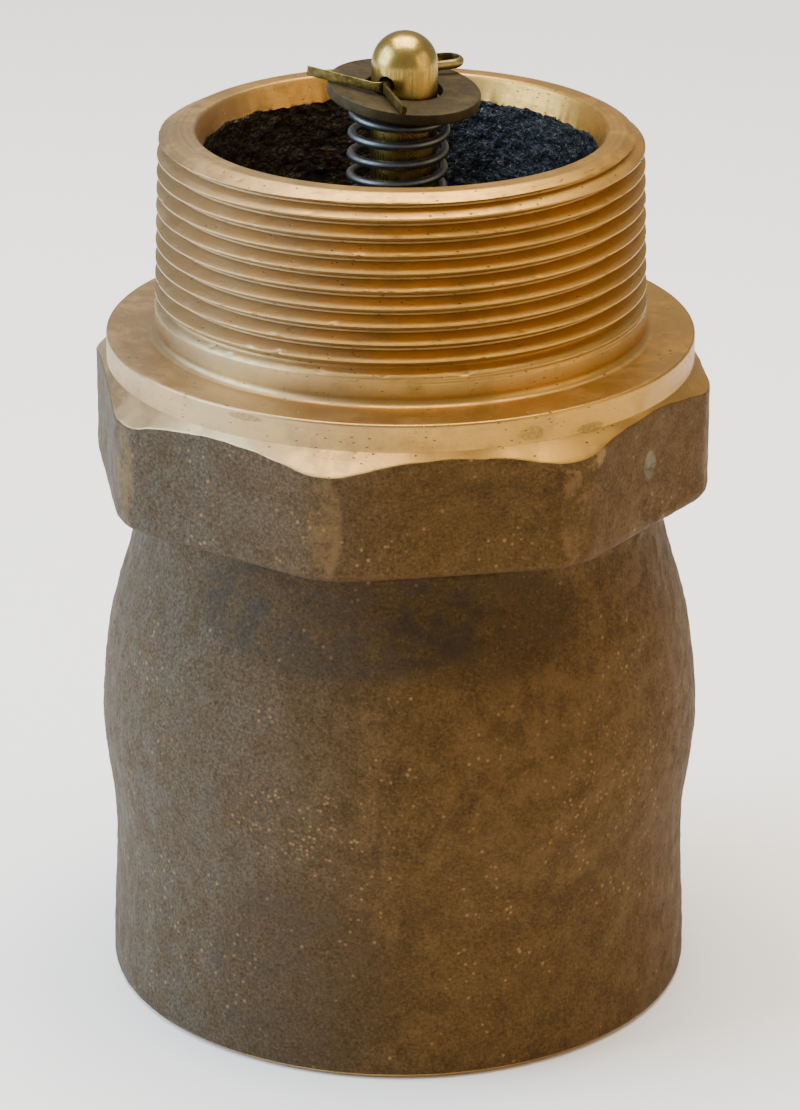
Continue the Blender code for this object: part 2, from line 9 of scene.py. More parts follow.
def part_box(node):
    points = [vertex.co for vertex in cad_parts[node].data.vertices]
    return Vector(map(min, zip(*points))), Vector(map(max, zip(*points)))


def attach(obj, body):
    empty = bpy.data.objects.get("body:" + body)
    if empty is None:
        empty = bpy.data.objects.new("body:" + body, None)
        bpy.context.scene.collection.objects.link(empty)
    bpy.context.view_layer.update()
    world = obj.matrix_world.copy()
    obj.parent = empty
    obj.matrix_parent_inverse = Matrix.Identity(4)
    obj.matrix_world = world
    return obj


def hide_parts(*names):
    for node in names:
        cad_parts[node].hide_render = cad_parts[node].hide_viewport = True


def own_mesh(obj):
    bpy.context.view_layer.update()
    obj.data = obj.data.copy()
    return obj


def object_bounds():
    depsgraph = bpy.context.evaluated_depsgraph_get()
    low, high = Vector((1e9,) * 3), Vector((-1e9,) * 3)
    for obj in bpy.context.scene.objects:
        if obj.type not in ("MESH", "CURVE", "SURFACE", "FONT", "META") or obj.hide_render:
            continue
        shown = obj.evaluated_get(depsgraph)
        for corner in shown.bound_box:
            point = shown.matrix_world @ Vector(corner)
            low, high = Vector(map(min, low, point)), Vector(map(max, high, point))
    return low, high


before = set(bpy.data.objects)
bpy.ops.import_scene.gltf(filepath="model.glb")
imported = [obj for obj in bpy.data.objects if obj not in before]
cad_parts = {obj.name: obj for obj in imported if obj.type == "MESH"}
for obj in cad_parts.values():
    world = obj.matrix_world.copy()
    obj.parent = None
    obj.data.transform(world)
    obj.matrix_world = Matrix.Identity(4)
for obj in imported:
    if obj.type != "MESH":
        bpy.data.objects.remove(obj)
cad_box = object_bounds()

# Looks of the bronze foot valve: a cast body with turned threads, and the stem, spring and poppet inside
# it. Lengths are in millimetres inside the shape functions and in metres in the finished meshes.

MM = 0.001
INCH = 25.4
TURN = 2 * math.pi
UP = Vector((0, 0, 1))


def box_mm(node):
    """Lowest and highest corners of a CAD node, in millimetres."""
    low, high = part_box(node)
    return low / MM, high / MM


HEIGHT = box_mm("valve_body")[1].z

PITCH = INCH / 8
NPT_SLOPE = 1 / 32
THREAD_DEPTH = 2.25
COLUMNS = 480
ANGLES = np.linspace(0, TURN, COLUMNS + 1)

# The directions, seen from above, in which hand-made irregularities lie.
CAMERA_TURN = math.radians(-9.56)  # the octagon's flats stand this far round from the camera's view
CAMERA_ANGLE = -math.pi / 2 + CAMERA_TURN


def seen(degrees):
    """Angle about the axis of what lies this many degrees to the right of the camera's own direction."""
    return CAMERA_ANGLE + math.radians(degrees)


def around(degrees, distance, height):
    """A place this many degrees to the right of the camera's direction, in the units it is given."""
    return (distance * math.cos(seen(degrees)), distance * math.sin(seen(degrees)), height)


# ---- noise and curves ---------------------------------------------------------------------------
def value_noise(points, size, seed):
    """Smooth noise from -1 to 1 at each point; size is the width of its lumps."""
    count = 32
    table = np.random.default_rng(seed).uniform(-1, 1, (count, count, count))
    scaled = points / size
    cell = np.floor(scaled).astype(int)
    part = scaled - cell
    part = part * part * (3 - 2 * part)
    total = np.zeros(len(points))
    for corner in np.ndindex(2, 2, 2):
        share = np.prod(np.where(corner, part, 1 - part), axis=1)
        at = (cell + corner) % count
        total += share * table[at[:, 0], at[:, 1], at[:, 2]]
    return total


def rough(points, size, seed, octaves=3):
    """Noise with finer lumps on top, each half as wide and half as high."""
    return sum(value_noise(points, size / 2**k, seed + k) / 2**k for k in range(octaves))


def smooth_step(x):
    x = np.clip(x, 0, 1)
    return x * x * (3 - 2 * x)


def smooth_line(points, count):
    """A Catmull-Rom curve through the points, count points for each stretch."""
    pts = [np.array(p, float) for p in points]
    pts = [2 * pts[0] - pts[1], *pts, 2 * pts[-1] - pts[-2]]
    line = []
    for a, b, c, d in zip(pts, pts[1:], pts[2:], pts[3:]):
        for t in np.arange(count) / count:
            square = (2 * a - 5 * b + 4 * c - d) * t**2
            cube = (3 * b - a - 3 * c + d) * t**3
            line.append(0.5 * (2 * b + (c - a) * t + square + cube))
    line.append(pts[-2])
    return line


def rounded(outline, closed=False, steps=5):
    """Points (r, z) of an outline of (r, z, fillet), with each corner turned into an arc."""
    count = len(outline)
    result = []
    for i, (r, z, fillet) in enumerate(outline):
        here = Vector((r, z))
        if fillet == 0 or (not closed and i in (0, count - 1)):
            result.append(here)
            continue
        before = Vector(outline[i - 1][:2]) - here
        after = Vector(outline[(i + 1) % count][:2]) - here
        angle = before.angle(after)
        reach = fillet / math.tan(angle / 2)
        start = before.normalized()
        end = after.normalized()
        centre = here + (start + end).normalized() * fillet / math.sin(angle / 2)
        first = here + start * reach - centre
        sweep = first.angle_signed(here + end * reach - centre)
        for k in range(steps + 1):
            turned_by = Matrix.Rotation(-sweep * k / steps, 2)
            result.append(centre + turned_by @ first)
    return result


# ---- meshes -------------------------------------------------------------------------------------
def ring(angles, r, z):
    """Points round the axis; r and z are single numbers or one for each angle."""
    r = r + 0 * angles
    return np.stack([r * np.cos(angles), r * np.sin(angles), z + 0 * angles], axis=-1)


def piece_from_mesh(name, mesh, materials, sharp_angle=32):
    for made in materials:
        mesh.materials.append(made)
    mesh.shade_smooth()
    mesh.set_sharp_from_angle(angle=math.radians(sharp_angle))
    obj = bpy.data.objects.new(name, mesh)
    bpy.context.scene.collection.objects.link(obj)
    return obj


def mesh_from_grid(name, grid, slots, groove=None, weld=0.008):
    """A closed surface from rows of points in millimetres, the last row joined to the first.

    Each row goes once round the axis, its last point on its first or on that of a later row.
    """
    rows, across = grid.shape[:2]
    index = np.arange(rows * across).reshape(rows, across)
    above = np.roll(index, -1, axis=0)
    quads = np.stack([index[:, :-1], index[:, 1:], above[:, 1:], above[:, :-1]], axis=-1)
    mesh = bpy.data.meshes.new(name)
    mesh.from_pydata(grid.reshape(-1, 3) * MM, [], quads.reshape(-1, 4).tolist())
    mesh.polygons.foreach_set("material_index", np.repeat(slots, across - 1).astype(np.int32))
    if groove is not None:
        layer = mesh.attributes.new("groove", "FLOAT", "POINT")
        layer.data.foreach_set("value", groove.reshape(-1).astype(np.float32))
    bm = bmesh.new()
    bm.from_mesh(mesh)
    bmesh.ops.remove_doubles(bm, verts=bm.verts, dist=weld * MM)
    bmesh.ops.dissolve_degenerate(bm, edges=bm.edges, dist=0.5 * weld * MM)
    bm.to_mesh(mesh)
    bm.free()
    return mesh


def turned_mesh(name, outline, segments=128):
    """A ring turned from a closed outline of (r, z), up its outer side and down its bore."""
    angles = np.linspace(0, TURN, segments + 1)
    grid = np.array([ring(angles, r, z) for r, z in outline])
    return mesh_from_grid(name, grid, np.zeros(len(outline), int), weld=0.002)


def vertex_data(mesh, name):
    """One vector for each vertex: its "co" in metres, or its "normal"."""
    values = np.empty(len(mesh.vertices) * 3)
    mesh.vertices.foreach_get(name, values)
    return values.reshape(-1, 3)


def set_points(mesh, points):
    """Moves the vertices to these points in millimetres."""
    mesh.vertices.foreach_set("co", (points * MM).reshape(-1))
    mesh.update()


def new_mesh(name, bm):
    """The BMesh as a named mesh. The BMesh is used up."""
    mesh = bpy.data.meshes.new(name)
    bm.to_mesh(mesh)
    bm.free()
    return mesh


def turned(name, outline, materials, segments=128):
    return piece_from_mesh(name, turned_mesh(name, outline, segments), materials)


def tube_mesh(name, path, section):
    """A section of (out, up) offsets swept along a path in millimetres, with flat ends.

    Out is to the right of the way along the path.
    """
    bm = bmesh.new()
    rings = []
    for i, point in enumerate(path):
        ahead = (path[min(i + 1, len(path) - 1)] - path[max(i - 1, 0)]).normalized()
        out = ahead.cross(UP).normalized()
        up = out.cross(ahead).normalized()
        rings.append([bm.verts.new((point + out * a + up * b) * MM) for a, b in section])
    for first, second in zip(rings, rings[1:]):
        for j in range(len(section)):
            k = (j + 1) % len(section)
            bm.faces.new((first[j], first[k], second[k], second[j]))
    bm.faces.new(rings[0][::-1])
    bm.faces.new(rings[-1])
    bmesh.ops.recalc_face_normals(bm, faces=bm.faces)
    return new_mesh(name, bm)


def apply_modifiers(obj):
    """Gives the object the mesh that its modifiers make, and returns that mesh."""
    graph = bpy.context.evaluated_depsgraph_get()
    mesh = bpy.data.meshes.new_from_object(obj.evaluated_get(graph))
    obj.modifiers.clear()
    obj.data = mesh
    return mesh


def place(piece, body, slot, *nodes):
    """The piece stands for these CAD nodes and moves with that body."""
    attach(piece, body)
    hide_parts(*nodes)
    return piece


# ---- material tools -----------------------------------------------------------------------------
class Graph:
    """A material's node tree, with one short call for each kind of node it uses."""

    def __init__(self, name, metallic, specular=0.5):
        self.material = bpy.data.materials.new(name)
        self.material.use_nodes = True
        self.tree = self.material.node_tree
        self.shader = self.tree.nodes["Principled BSDF"]
        self.shader.inputs["Metallic"].default_value = metallic
        self.shader.inputs["Specular IOR Level"].default_value = specular
        place_node = self.node("ShaderNodeTexCoord").outputs["Object"]
        self.mm = self.vector("SCALE", place_node, scale=1 / MM)

    def node(self, kind, **settings):
        made = self.tree.nodes.new(kind)
        for key, value in settings.items():
            setattr(made, key, value)
        return made

    def feed(self, socket, value):
        if isinstance(value, bpy.types.NodeSocket):
            self.tree.links.new(value, socket)
        elif isinstance(value, tuple) and len(value) == 3 and socket.type == "RGBA":
            socket.default_value = (*value, 1)
        else:
            socket.default_value = value

    def vector(self, operation, first, second=None, scale=None):
        made = self.node("ShaderNodeVectorMath", operation=operation)
        self.feed(made.inputs[0], first)
        if second is not None:
            self.feed(made.inputs[1], second)
        if scale is not None:
            self.feed(made.inputs["Scale"], scale)
        return made.outputs["Value"] if operation in ("LENGTH", "DOT_PRODUCT") else made.outputs[0]

    def math(self, operation, first, second=0.0, clamp=False):
        made = self.node("ShaderNodeMath", operation=operation, use_clamp=clamp)
        self.feed(made.inputs[0], first)
        self.feed(made.inputs[1], second)
        return made.outputs[0]

    def noise(self, where, size, detail=4.0, roughness=0.6):
        made = self.node("ShaderNodeTexNoise")
        self.feed(made.inputs["Vector"], where)
        self.feed(made.inputs["Scale"], 1 / size)
        self.feed(made.inputs["Detail"], detail)
        self.feed(made.inputs["Roughness"], roughness)
        return made.outputs["Fac"]

    def cells(self, where, size):
        """Distance from the middle of the nearest of many scattered cells."""
        made = self.node("ShaderNodeTexVoronoi")
        self.feed(made.inputs["Vector"], where)
        self.feed(made.inputs["Scale"], 1 / size)
        return made.outputs["Distance"]

    def ramp(self, value, low, high, low_to=0.0, high_to=1.0):
        made = self.node("ShaderNodeMapRange", interpolation_type="SMOOTHSTEP")
        self.feed(made.inputs["Value"], value)
        for key, number in (("From Min", low), ("From Max", high), ("To Min", low_to), ("To Max", high_to)):
            self.feed(made.inputs[key], number)
        return made.outputs["Result"]

    def mix(self, share, first, second):
        made = self.node("ShaderNodeMix", data_type="RGBA")
        self.feed(made.inputs["Factor"], share)
        self.feed(made.inputs[6], first)
        self.feed(made.inputs[7], second)
        return made.outputs[2]

    def bump(self, height, depth, strength=1.0, after=None):
        """Relief whose height from 0 to 1 stands for this many millimetres."""
        made = self.node("ShaderNodeBump")
        self.feed(made.inputs["Height"], height)
        self.feed(made.inputs["Distance"], depth * MM)
        self.feed(made.inputs["Strength"], strength)
        if after is not None:
            self.feed(made.inputs["Normal"], after)
        return made.outputs["Normal"]

    def spread(self):
        """(r, 0, z) in millimetres: the same all the way round, as a lathe tool cuts."""
        parts = self.node("ShaderNodeSeparateXYZ")
        self.feed(parts.inputs[0], self.mm)
        flat = self.node("ShaderNodeCombineXYZ")
        self.feed(flat.inputs[0], parts.outputs[0])
        self.feed(flat.inputs[1], parts.outputs[1])
        radius = self.vector("LENGTH", flat.outputs[0])
        both = self.node("ShaderNodeCombineXYZ")
        self.feed(both.inputs[0], radius)
        self.feed(both.inputs[2], parts.outputs[2])
        return both.outputs[0]

    def side(self, degrees, low, high, most=1.0):
        """0 to most towards the side this many degrees to the right, between low and high millimetres out."""
        way = self.vector("DOT_PRODUCT", self.mm, around(degrees, 1.0, 0.0))
        return self.ramp(way, low, high, 0.0, most)

    def times(self, first, second):
        return self.math("MULTIPLY", first, second)

    def groove(self):
        """0 on a thread's crest or in the open, 1 at a thread's root or in a crevice; the materials darken by
        it as painted shade.
        """
        return self.node("ShaderNodeAttribute", attribute_name="groove").outputs["Fac"]

    def near(self, point, radii):
        """1 inside an ellipsoid round a point in millimetres, 0 well outside it."""
        offset = self.vector("SUBTRACT", self.mm, tuple(point))
        scaled = self.vector("DIVIDE", offset, tuple(radii))
        return self.ramp(self.vector("LENGTH", scaled), 1.0, 0.75)

    def finish(self, colour, roughness, normal=None):
        self.feed(self.shader.inputs["Base Color"], colour)
        self.feed(self.shader.inputs["Roughness"], roughness)
        if normal is not None:
            self.feed(self.shader.inputs["Normal"], normal)
        return self.material


# ---- the body casting ---------------------------------------------------------------------------
TURNED, CAST, BORE = range(3)  # material slots of the body

MALE_END_RADIUS = 43.7
CHAMFER_RADIUS = 40.3
CHAMFER_SLOPE = 3.3 / 1.6
CHAMFER_RING = HEIGHT - 0.54  # above this height the chamfer has cut every thread away
MALE_START = 130.12
FLANGE_RADIUS = 53.6
FLANGE_TOP = 125.8
FLANGE_BOTTOM = 120.8
NECK_RADIUS = 44.7
CONE_SLOPE = math.tan(math.radians(36))
OCTAGON_APOTHEM = 53.9
OCTAGON_CORNER = 14.0
OCTAGON_SHIFT = 0.9
OCTAGON_BOTTOM = 98.6
RIGHT_FLAT = 54.6  # middle of the wrench flat on the right, in degrees to the right of the camera
FLAT_DENT_HEIGHT = 110.2
MOUTH_RADIUS = 37.4  # top of the cone turned in the bore's mouth
MOUTH_END = HEIGHT - 4.2
BORE_RADIUS = 35.5
POCKET_RADIUS = 40.6
POCKET_TOP = 104.6
POCKET_BOTTOM = 87.0
SOCKET_DEPTH = 36.0
FEMALE_START = 2.6
FEMALE_END_RADIUS = 44.45

OUTSIDE = (
    (54.5, 1.6),
    (54.1, 12),
    (53.6, 24),
    (53.8, 34),
    (54.9, 42),
    (55.7, 50),
    (55.4, 58),
    (54.4, 66),
    (52.8, 74),
    (50.4, 82),
    (48.3, 90),
    (47.6, 96.2),
)
CHAMBER = ((40.9, 86.2), (44.8, 80), (47.4, 70), (48.9, 59), (48.9, 50), (46.5, 43), (44.2, 38.4))
PHASES = (0, 0.05, 0.11, 0.19, 0.27, 0.35, 0.42, 0.455, 0.5, 0.545, 0.58, 0.65, 0.73, 0.81, 0.89, 0.95)
CREST_SHARE = 0.09  # of a pitch, flat at the crest
ROOT_SHARE = 0.10


def octagon_radius():
    """The cast wrench flats: rounded corners, and cast a little off the turned axis."""
    half = math.pi / 8
    off_corner = ANGLES % (2 * half) - half
    flat = OCTAGON_APOTHEM / np.cos(half - np.abs(off_corner))
    centre = (OCTAGON_APOTHEM - OCTAGON_CORNER) / math.cos(half)
    inside = np.maximum(OCTAGON_CORNER**2 - (centre * np.sin(off_corner)) ** 2, 0)
    corner = centre * np.cos(off_corner) + np.sqrt(inside)
    tangent = half - math.atan(centre * math.sin(half) / OCTAGON_APOTHEM)
    radius = np.where(np.abs(off_corner) < tangent, corner, flat)
    return radius + OCTAGON_SHIFT * np.cos(ANGLES - seen(-20))


def groove_share(turns):
    """0 on a thread's crest and 1 at its root, at this many turns from the first root."""
    from_crest = np.abs(turns % 1 - 0.5) * 2
    return np.clip((from_crest - CREST_SHARE) / (1 - CREST_SHARE - ROOT_SHARE), 0, 1)


class Rows:
    """The body's surface as rows of points, outside first from the foot up, then inside down."""

    def __init__(self):
        self.points, self.slots, self.lumps, self.grooves = [], [], [], []

    def add(self, r, z, slot, lumps=0.0, groove=0.0):
        """Lumps is how far casting noise moves this row in or out, in millimetres."""
        self.points.append(ring(ANGLES, r, z))
        self.slots.append(slot)
        self.lumps.append(lumps + 0 * ANGLES)
        self.grooves.append(groove + 0 * ANGLES)

    def thread(self, start, low, high, radius, depth, downward=False):
        """Rows that climb one pitch a turn, held between the plain rings at low and high."""
        turns = [whole + phase for whole in range(-1, int((high - start) / PITCH) + 2) for phase in PHASES]
        for turn in turns[::-1] if downward else turns:
            z = np.clip(start + PITCH * (turn + ANGLES / TURN), low, high)
            climbed = (z - start) / PITCH
            fade = np.clip(climbed, 0, 1) * np.clip((high - z) / PITCH + (0 if downward else 1), 0, 1)
            share = groove_share(climbed - ANGLES / TURN) * fade
            self.add(radius(z, depth * share), z, TURNED, 0.0, share)


def male_radius(z, groove):
    thread = MALE_END_RADIUS + (HEIGHT - z) * NPT_SLOPE - groove
    return np.minimum(thread, CHAMFER_RADIUS + (HEIGHT - z) * CHAMFER_SLOPE)


def female_radius(z, groove):
    return FEMALE_END_RADIUS - THREAD_DEPTH - z * NPT_SLOPE + groove


def outside_rows(rows):
    rows.add(53.2, 0, TURNED)
    rows.add(53.9, 0.2, TURNED)
    rows.add(54.35, 0.8, CAST, 0.06)
    # From here up to the octagon's underside the groove values darken the skin as painted shadow under the
    # octagon.
    for r, z in smooth_line(OUTSIDE, 9):
        rows.add(r, z, CAST, 0.22 * min(1, z / 8), 0.9 * smooth_step((z - 94.2) / 2.0))
    # The bead and the underside rows carry painted shadow through their groove values.
    bead = ((47.55, 96.6), (47.7, 96.95), (48.3, 97.2), (49.4, 97.35))
    for r, z in bead:
        rows.add(r, z, CAST, 0.12, 0.9)
    octagon = octagon_radius()
    for inset, z, groove in ((3.4, 97.4, 0.9), (1.7, 97.5, 0.7), (0.75, 97.9, 0.3), (0.2, 98.6, 0.0)):
        rows.add(octagon - inset, z, CAST, 0.15, groove)
    edge_noise = rough(ring(ANGLES, octagon, FLANGE_BOTTOM), 5.0, 31)
    edge = FLANGE_BOTTOM - np.maximum(octagon - FLANGE_RADIUS, 0.1) * CONE_SLOPE
    edge = edge - 0.25 + 0.18 * edge_noise
    wall = np.linspace(0, 1, 26)
    for share in wall:
        z = (OCTAGON_BOTTOM + 1.0) * (1 - share) + (edge - 0.35) * share
        rows.add(octagon, z, CAST, 0.2 - 0.1 * share)
    rows.add(octagon - 0.12, edge - 0.08, TURNED, 0.08)
    for share in np.linspace(0.04, 1, 7):
        r = (octagon - 0.3) * (1 - share) + FLANGE_RADIUS * share
        z = FLANGE_BOTTOM * share + (edge + 0.1) * (1 - share)
        rows.add(r, z, TURNED, 0.03 * (1 - share))


def flange_rows(rows):
    for z in np.linspace(FLANGE_BOTTOM + 0.2, FLANGE_TOP - 0.6, 8):
        rows.add(FLANGE_RADIUS, z, TURNED, 0.02)
    edge = 0.5
    for angle in np.linspace(0, math.pi / 2, 6):
        r = FLANGE_RADIUS - edge + edge * math.cos(angle)
        rows.add(r, FLANGE_TOP - edge + edge * math.sin(angle), TURNED)
    fillet = 1.3
    for r in np.linspace(FLANGE_RADIUS - 0.9, NECK_RADIUS + fillet + 0.1, 10):
        rows.add(r, FLANGE_TOP, TURNED)
    for angle in np.linspace(0, math.pi / 2, 7):
        r = NECK_RADIUS + fillet - fillet * math.sin(angle)
        rows.add(r, FLANGE_TOP + fillet - fillet * math.cos(angle), TURNED)
    for z in np.linspace(FLANGE_TOP + fillet + 0.3, MALE_START - 0.3, 6):
        rows.add(NECK_RADIUS + 0.03, z, TURNED)


def inlet_rows(rows):
    rows.thread(MALE_START, MALE_START, CHAMFER_RING, male_radius, THREAD_DEPTH)
    rows.add(CHAMFER_RADIUS + 0.45, HEIGHT - 0.25, TURNED)
    rows.add(CHAMFER_RADIUS + 0.15, HEIGHT - 0.05, TURNED)
    lip = ((0.3, 0.0), (0.0, -0.03), (-0.25, -0.14), (-0.45, -0.35), (-0.58, -0.65))
    for r in np.linspace(CHAMFER_RADIUS - 0.2, MOUTH_RADIUS + 0.5, 5):
        rows.add(r, HEIGHT, TURNED)
    for step, drop in lip:
        rows.add(MOUTH_RADIUS + step, HEIGHT + drop, TURNED)
    mouth = ring(ANGLES, MOUTH_RADIUS, MOUTH_END)
    ragged = MOUTH_END - 0.45 * np.cos(ANGLES - seen(155))
    ragged = ragged + 0.5 * rough(mouth, 5.0, 7) + 0.25 * rough(mouth, 1.2, 9)
    for share in np.linspace(0.1, 1, 8):
        z = (HEIGHT - 0.65) * (1 - share) + ragged * share
        r = (MOUTH_RADIUS - 0.58) * (1 - share) + (BORE_RADIUS + 0.12) * share
        rows.add(r, z, TURNED if share < 0.99 else BORE, 0.03 * share)
    rows.add(BORE_RADIUS + 0.1, ragged - 0.15, BORE, 0.3)
    for share in np.linspace(0, 1, 60):
        z = (ragged - 0.5) * (1 - share) + 132 * share
        rows.add(BORE_RADIUS, z, BORE, 0.6)
    for z in np.linspace(130.8, POCKET_TOP + 0.7, 22):
        rows.add(BORE_RADIUS, z, BORE, 0.45)
    rows.add(BORE_RADIUS + 0.1, POCKET_TOP, TURNED, 0.1)


def outlet_rows(rows):
    for r in np.linspace(BORE_RADIUS + 0.8, POCKET_RADIUS - 0.4, 4):
        rows.add(r, POCKET_TOP, TURNED)
    for z in (POCKET_TOP - 0.2, *np.linspace(POCKET_TOP - 0.8, POCKET_BOTTOM + 0.3, 10)):
        rows.add(POCKET_RADIUS, z, TURNED)
    for r, z in smooth_line(CHAMBER, 10):
        rows.add(r, z, BORE, 0.3 if z < POCKET_BOTTOM - 1.5 else 0.05)
    rows.thread(FEMALE_START, 2.3, SOCKET_DEPTH + 1.2, female_radius, THREAD_DEPTH, downward=True)
    for r, z in ((42.6, 2.0), (44.2, 0.95), (45.7, 0.15), (46.1, 0), (48.4, 0), (50.8, 0)):
        rows.add(r, z, TURNED)


def ding(points, degrees, z, width, height):
    """1 at the middle of an oval patch on the outside, 0 beyond its edge."""
    angle = seen(degrees)
    across = points[:, 1] * math.cos(angle) - points[:, 0] * math.sin(angle)
    facing = points[:, 0] * math.cos(angle) + points[:, 1] * math.sin(angle) > 0
    distance = np.hypot(across / width, (points[:, 2] - z) / height) * 2
    return smooth_step(1 - distance) * facing


def casting_relief(points, lumps, grooves):
    """How far each point moves outwards: sand-cast waviness, dents, and nicks in the turned metal."""
    waves = 0.6 * value_noise(points, 14.0, 3) + 0.4 * rough(points, 3.6, 5, 4)
    grain = rough(points, 1.5, 21, 2)
    relief = lumps * (waves + 0.55 * grain)
    crest = (lumps == 0) & (points[:, 2] > MALE_START + 1) & (points[:, 2] < CHAMFER_RING)
    nicks = np.clip(rough(points, 1.3, 41, 2) - 0.6, 0, 0.5) * 0.8
    burrs = 0.09 * rough(points, 1.1, 47, 2) * smooth_step((points[:, 2] - HEIGHT + 3.4) / 1.6)
    relief += (burrs - nicks) * crest * (1 - grooves) * (np.hypot(points[:, 0], points[:, 1]) > 41)
    skin = lumps >= 0.15
    relief -= 0.9 * ding(points, RIGHT_FLAT, FLAT_DENT_HEIGHT, 3.8, 6.4) * skin
    relief -= 1.3 * ding(points, 88, 33, 5, 9) * skin
    return relief


def body_mesh():
    rows = Rows()
    outside_rows(rows)
    flange_rows(rows)
    inlet_rows(rows)
    outlet_rows(rows)
    grid = np.array(rows.points)
    lumps = np.array(rows.lumps)
    grooves = np.array(rows.grooves)
    flat = grid.reshape(-1, 3)
    relief = casting_relief(flat, lumps.reshape(-1), grooves.reshape(-1))
    outward = flat * (1, 1, 0) / np.hypot(flat[:, 0], flat[:, 1])[:, None]
    grid = (flat + outward * relief[:, None]).reshape(grid.shape)
    return mesh_from_grid("bronze_body", grid, np.array(rows.slots), grooves)


# ---- guide and seat -----------------------------------------------------------------------------
def ring_outline(node, inner, fillet):
    """A plain ring as wide and high as its CAD node, with rounded edges."""
    low, high = box_mm(node)
    outer = high.x
    corners = ((outer, low.z), (outer, high.z), (inner, high.z), (inner, low.z))
    return rounded([(r, z, fillet) for r, z in corners], closed=True)


def make_seat_ring(looks):
    low, high = box_mm("seat_ring")
    bore, lip = 33.0, 2.5
    foot = low.z + 1.2
    outline = rounded(
        [
            (bore + lip + 1.2, foot, 0.3),
            (high.x - 0.8, foot, 0.1),
            (high.x, foot + 0.8, 0.1),
            (high.x, high.z, 0.3),
            (bore + 0.5, high.z, 0.1),
            (bore, high.z - 0.5, 0.1),
            (bore, low.z, 0.4),
            (bore + lip, low.z, 0.4),
        ],
        closed=True,
    )
    piece = turned("bronze_seat_ring", outline, looks, 192)
    return place(piece, "valve_body", "brass", "seat_ring")


def make_gasket(looks):
    piece = turned("fibre_gasket", ring_outline("seat_gasket", 35.0, 0.25), looks, 128)
    return place(piece, "valve_body", "fibre", "seat_gasket")


def blend_union(name, meshes, looks, voxel, relief):
    """Meshes joined into one casting, its inner corners softened as a pattern maker would."""
    bm = bmesh.new()
    for mesh in meshes:
        bm.from_mesh(mesh)
    piece = piece_from_mesh(name, new_mesh(name, bm), looks)
    remesh = piece.modifiers.new("one_skin", "REMESH")
    remesh.mode = "VOXEL"
    remesh.voxel_size = voxel * MM
    remesh.use_smooth_shade = True
    soften = piece.modifiers.new("soften", "SMOOTH")
    soften.factor = 0.5
    soften.iterations = 4
    mesh = apply_modifiers(piece)
    points = vertex_data(mesh, "co") / MM
    points += vertex_data(mesh, "normal") * relief * rough(points, 3.0, 61)[:, None]
    set_points(mesh, points)
    return piece


def make_spider(looks):
    low, high = box_mm("guide_spider")
    rim_outer, rim_inner, rim_top = high.x, 35.0, POCKET_TOP - 0.3
    rim_bottom = 98.6
    hub, bore = 10.5, 7.9
    rim = [(rim_outer, rim_bottom), (rim_outer, rim_top), (rim_inner, rim_top), (rim_inner, rim_bottom)]
    sleeve = [(hub, low.z + 0.9), (hub, high.z - 1), (hub - 1, high.z), (bore, high.z), (bore, low.z + 0.9)]
    meshes = [turned_mesh("rim", rim, 160), turned_mesh("hub", sleeve, 96)]
    start, end, half = bore + 1.2, (rim_inner + rim_outer) / 2, 2.8
    web = [
        (start, low.z + 1.7),
        (end, rim_bottom + 0.8),
        (end, rim_top - 0.8),
        (rim_inner - 3, rim_top + 1.5),
        (start, high.z - 5),
    ]
    for number in range(3):
        bm = bmesh.new()
        sides = [[bm.verts.new(Vector((r, y, z)) * MM) for r, z in web] for y in (-half, half)]
        bm.faces.new(sides[0])
        bm.faces.new(sides[1][::-1])
        for i in range(len(web)):
            k = (i + 1) % len(web)
            bm.faces.new((sides[0][k], sides[0][i], sides[1][i], sides[1][k]))
        turn = Matrix.Rotation(math.radians(90 + 120 * number), 4, "Z")
        bmesh.ops.transform(bm, matrix=turn, verts=bm.verts)
        bmesh.ops.recalc_face_normals(bm, faces=bm.faces)
        meshes.append(new_mesh("web", bm))
    piece = blend_union("cast_guide_spider", meshes, looks, 0.55, 0.06)
    return place(piece, "valve_body", "cast_bronze", "guide_spider")


def make_bushing(looks):
    low, high = box_mm("guide_bushing")
    radius, flange, bore = 7.6, high.x, STEM_RADIUS + 0.3
    step = 122.3
    outline = rounded(
        [
            (radius, low.z, 0.4),
            (radius, step, 0),
            (flange, step, 0.15),
            (flange, high.z, 0.3),
            (bore, high.z, 0.25),
            (bore, low.z, 0.25),
        ],
        closed=True,
    )
    piece = turned("brass_guide_bushing", outline, looks, 96)
    return place(piece, "valve_body", "brass", "guide_bushing")


def make_spring_seat(looks):
    piece = turned("brass_spring_seat", ring_outline("spring_seat_washer", STEM_RADIUS + 0.6, 0.4), looks, 96)
    return place(piece, "valve_body", "aged_brass", "spring_seat_washer")


# ---- the stem and what hangs on it --------------------------------------------------------------
STEM_RADIUS = 15 / 64 * INCH
PIN_RADIUS = 0.92
PIN_ANGLE = math.radians(226.4)  # the way the split pin's legs come out
PIN_HEIGHT = 172.1
PIN_SLOPE = math.radians(1.0)
TAIL_RADIUS = 3 / 16 * INCH
TAIL_PITCH = INCH / 24
WASHER_TILT = math.radians(7.5)
WASHER_LOW_SIDE = math.radians(306.4)
WASHER_TOP = 170.65
WASHER_THICKNESS = 2.1
SPRING_RADIUS = 8.4
WIRE_RADIUS = 0.8
SPRING_START = 0.43  # where the wire begins, in turns round the axis


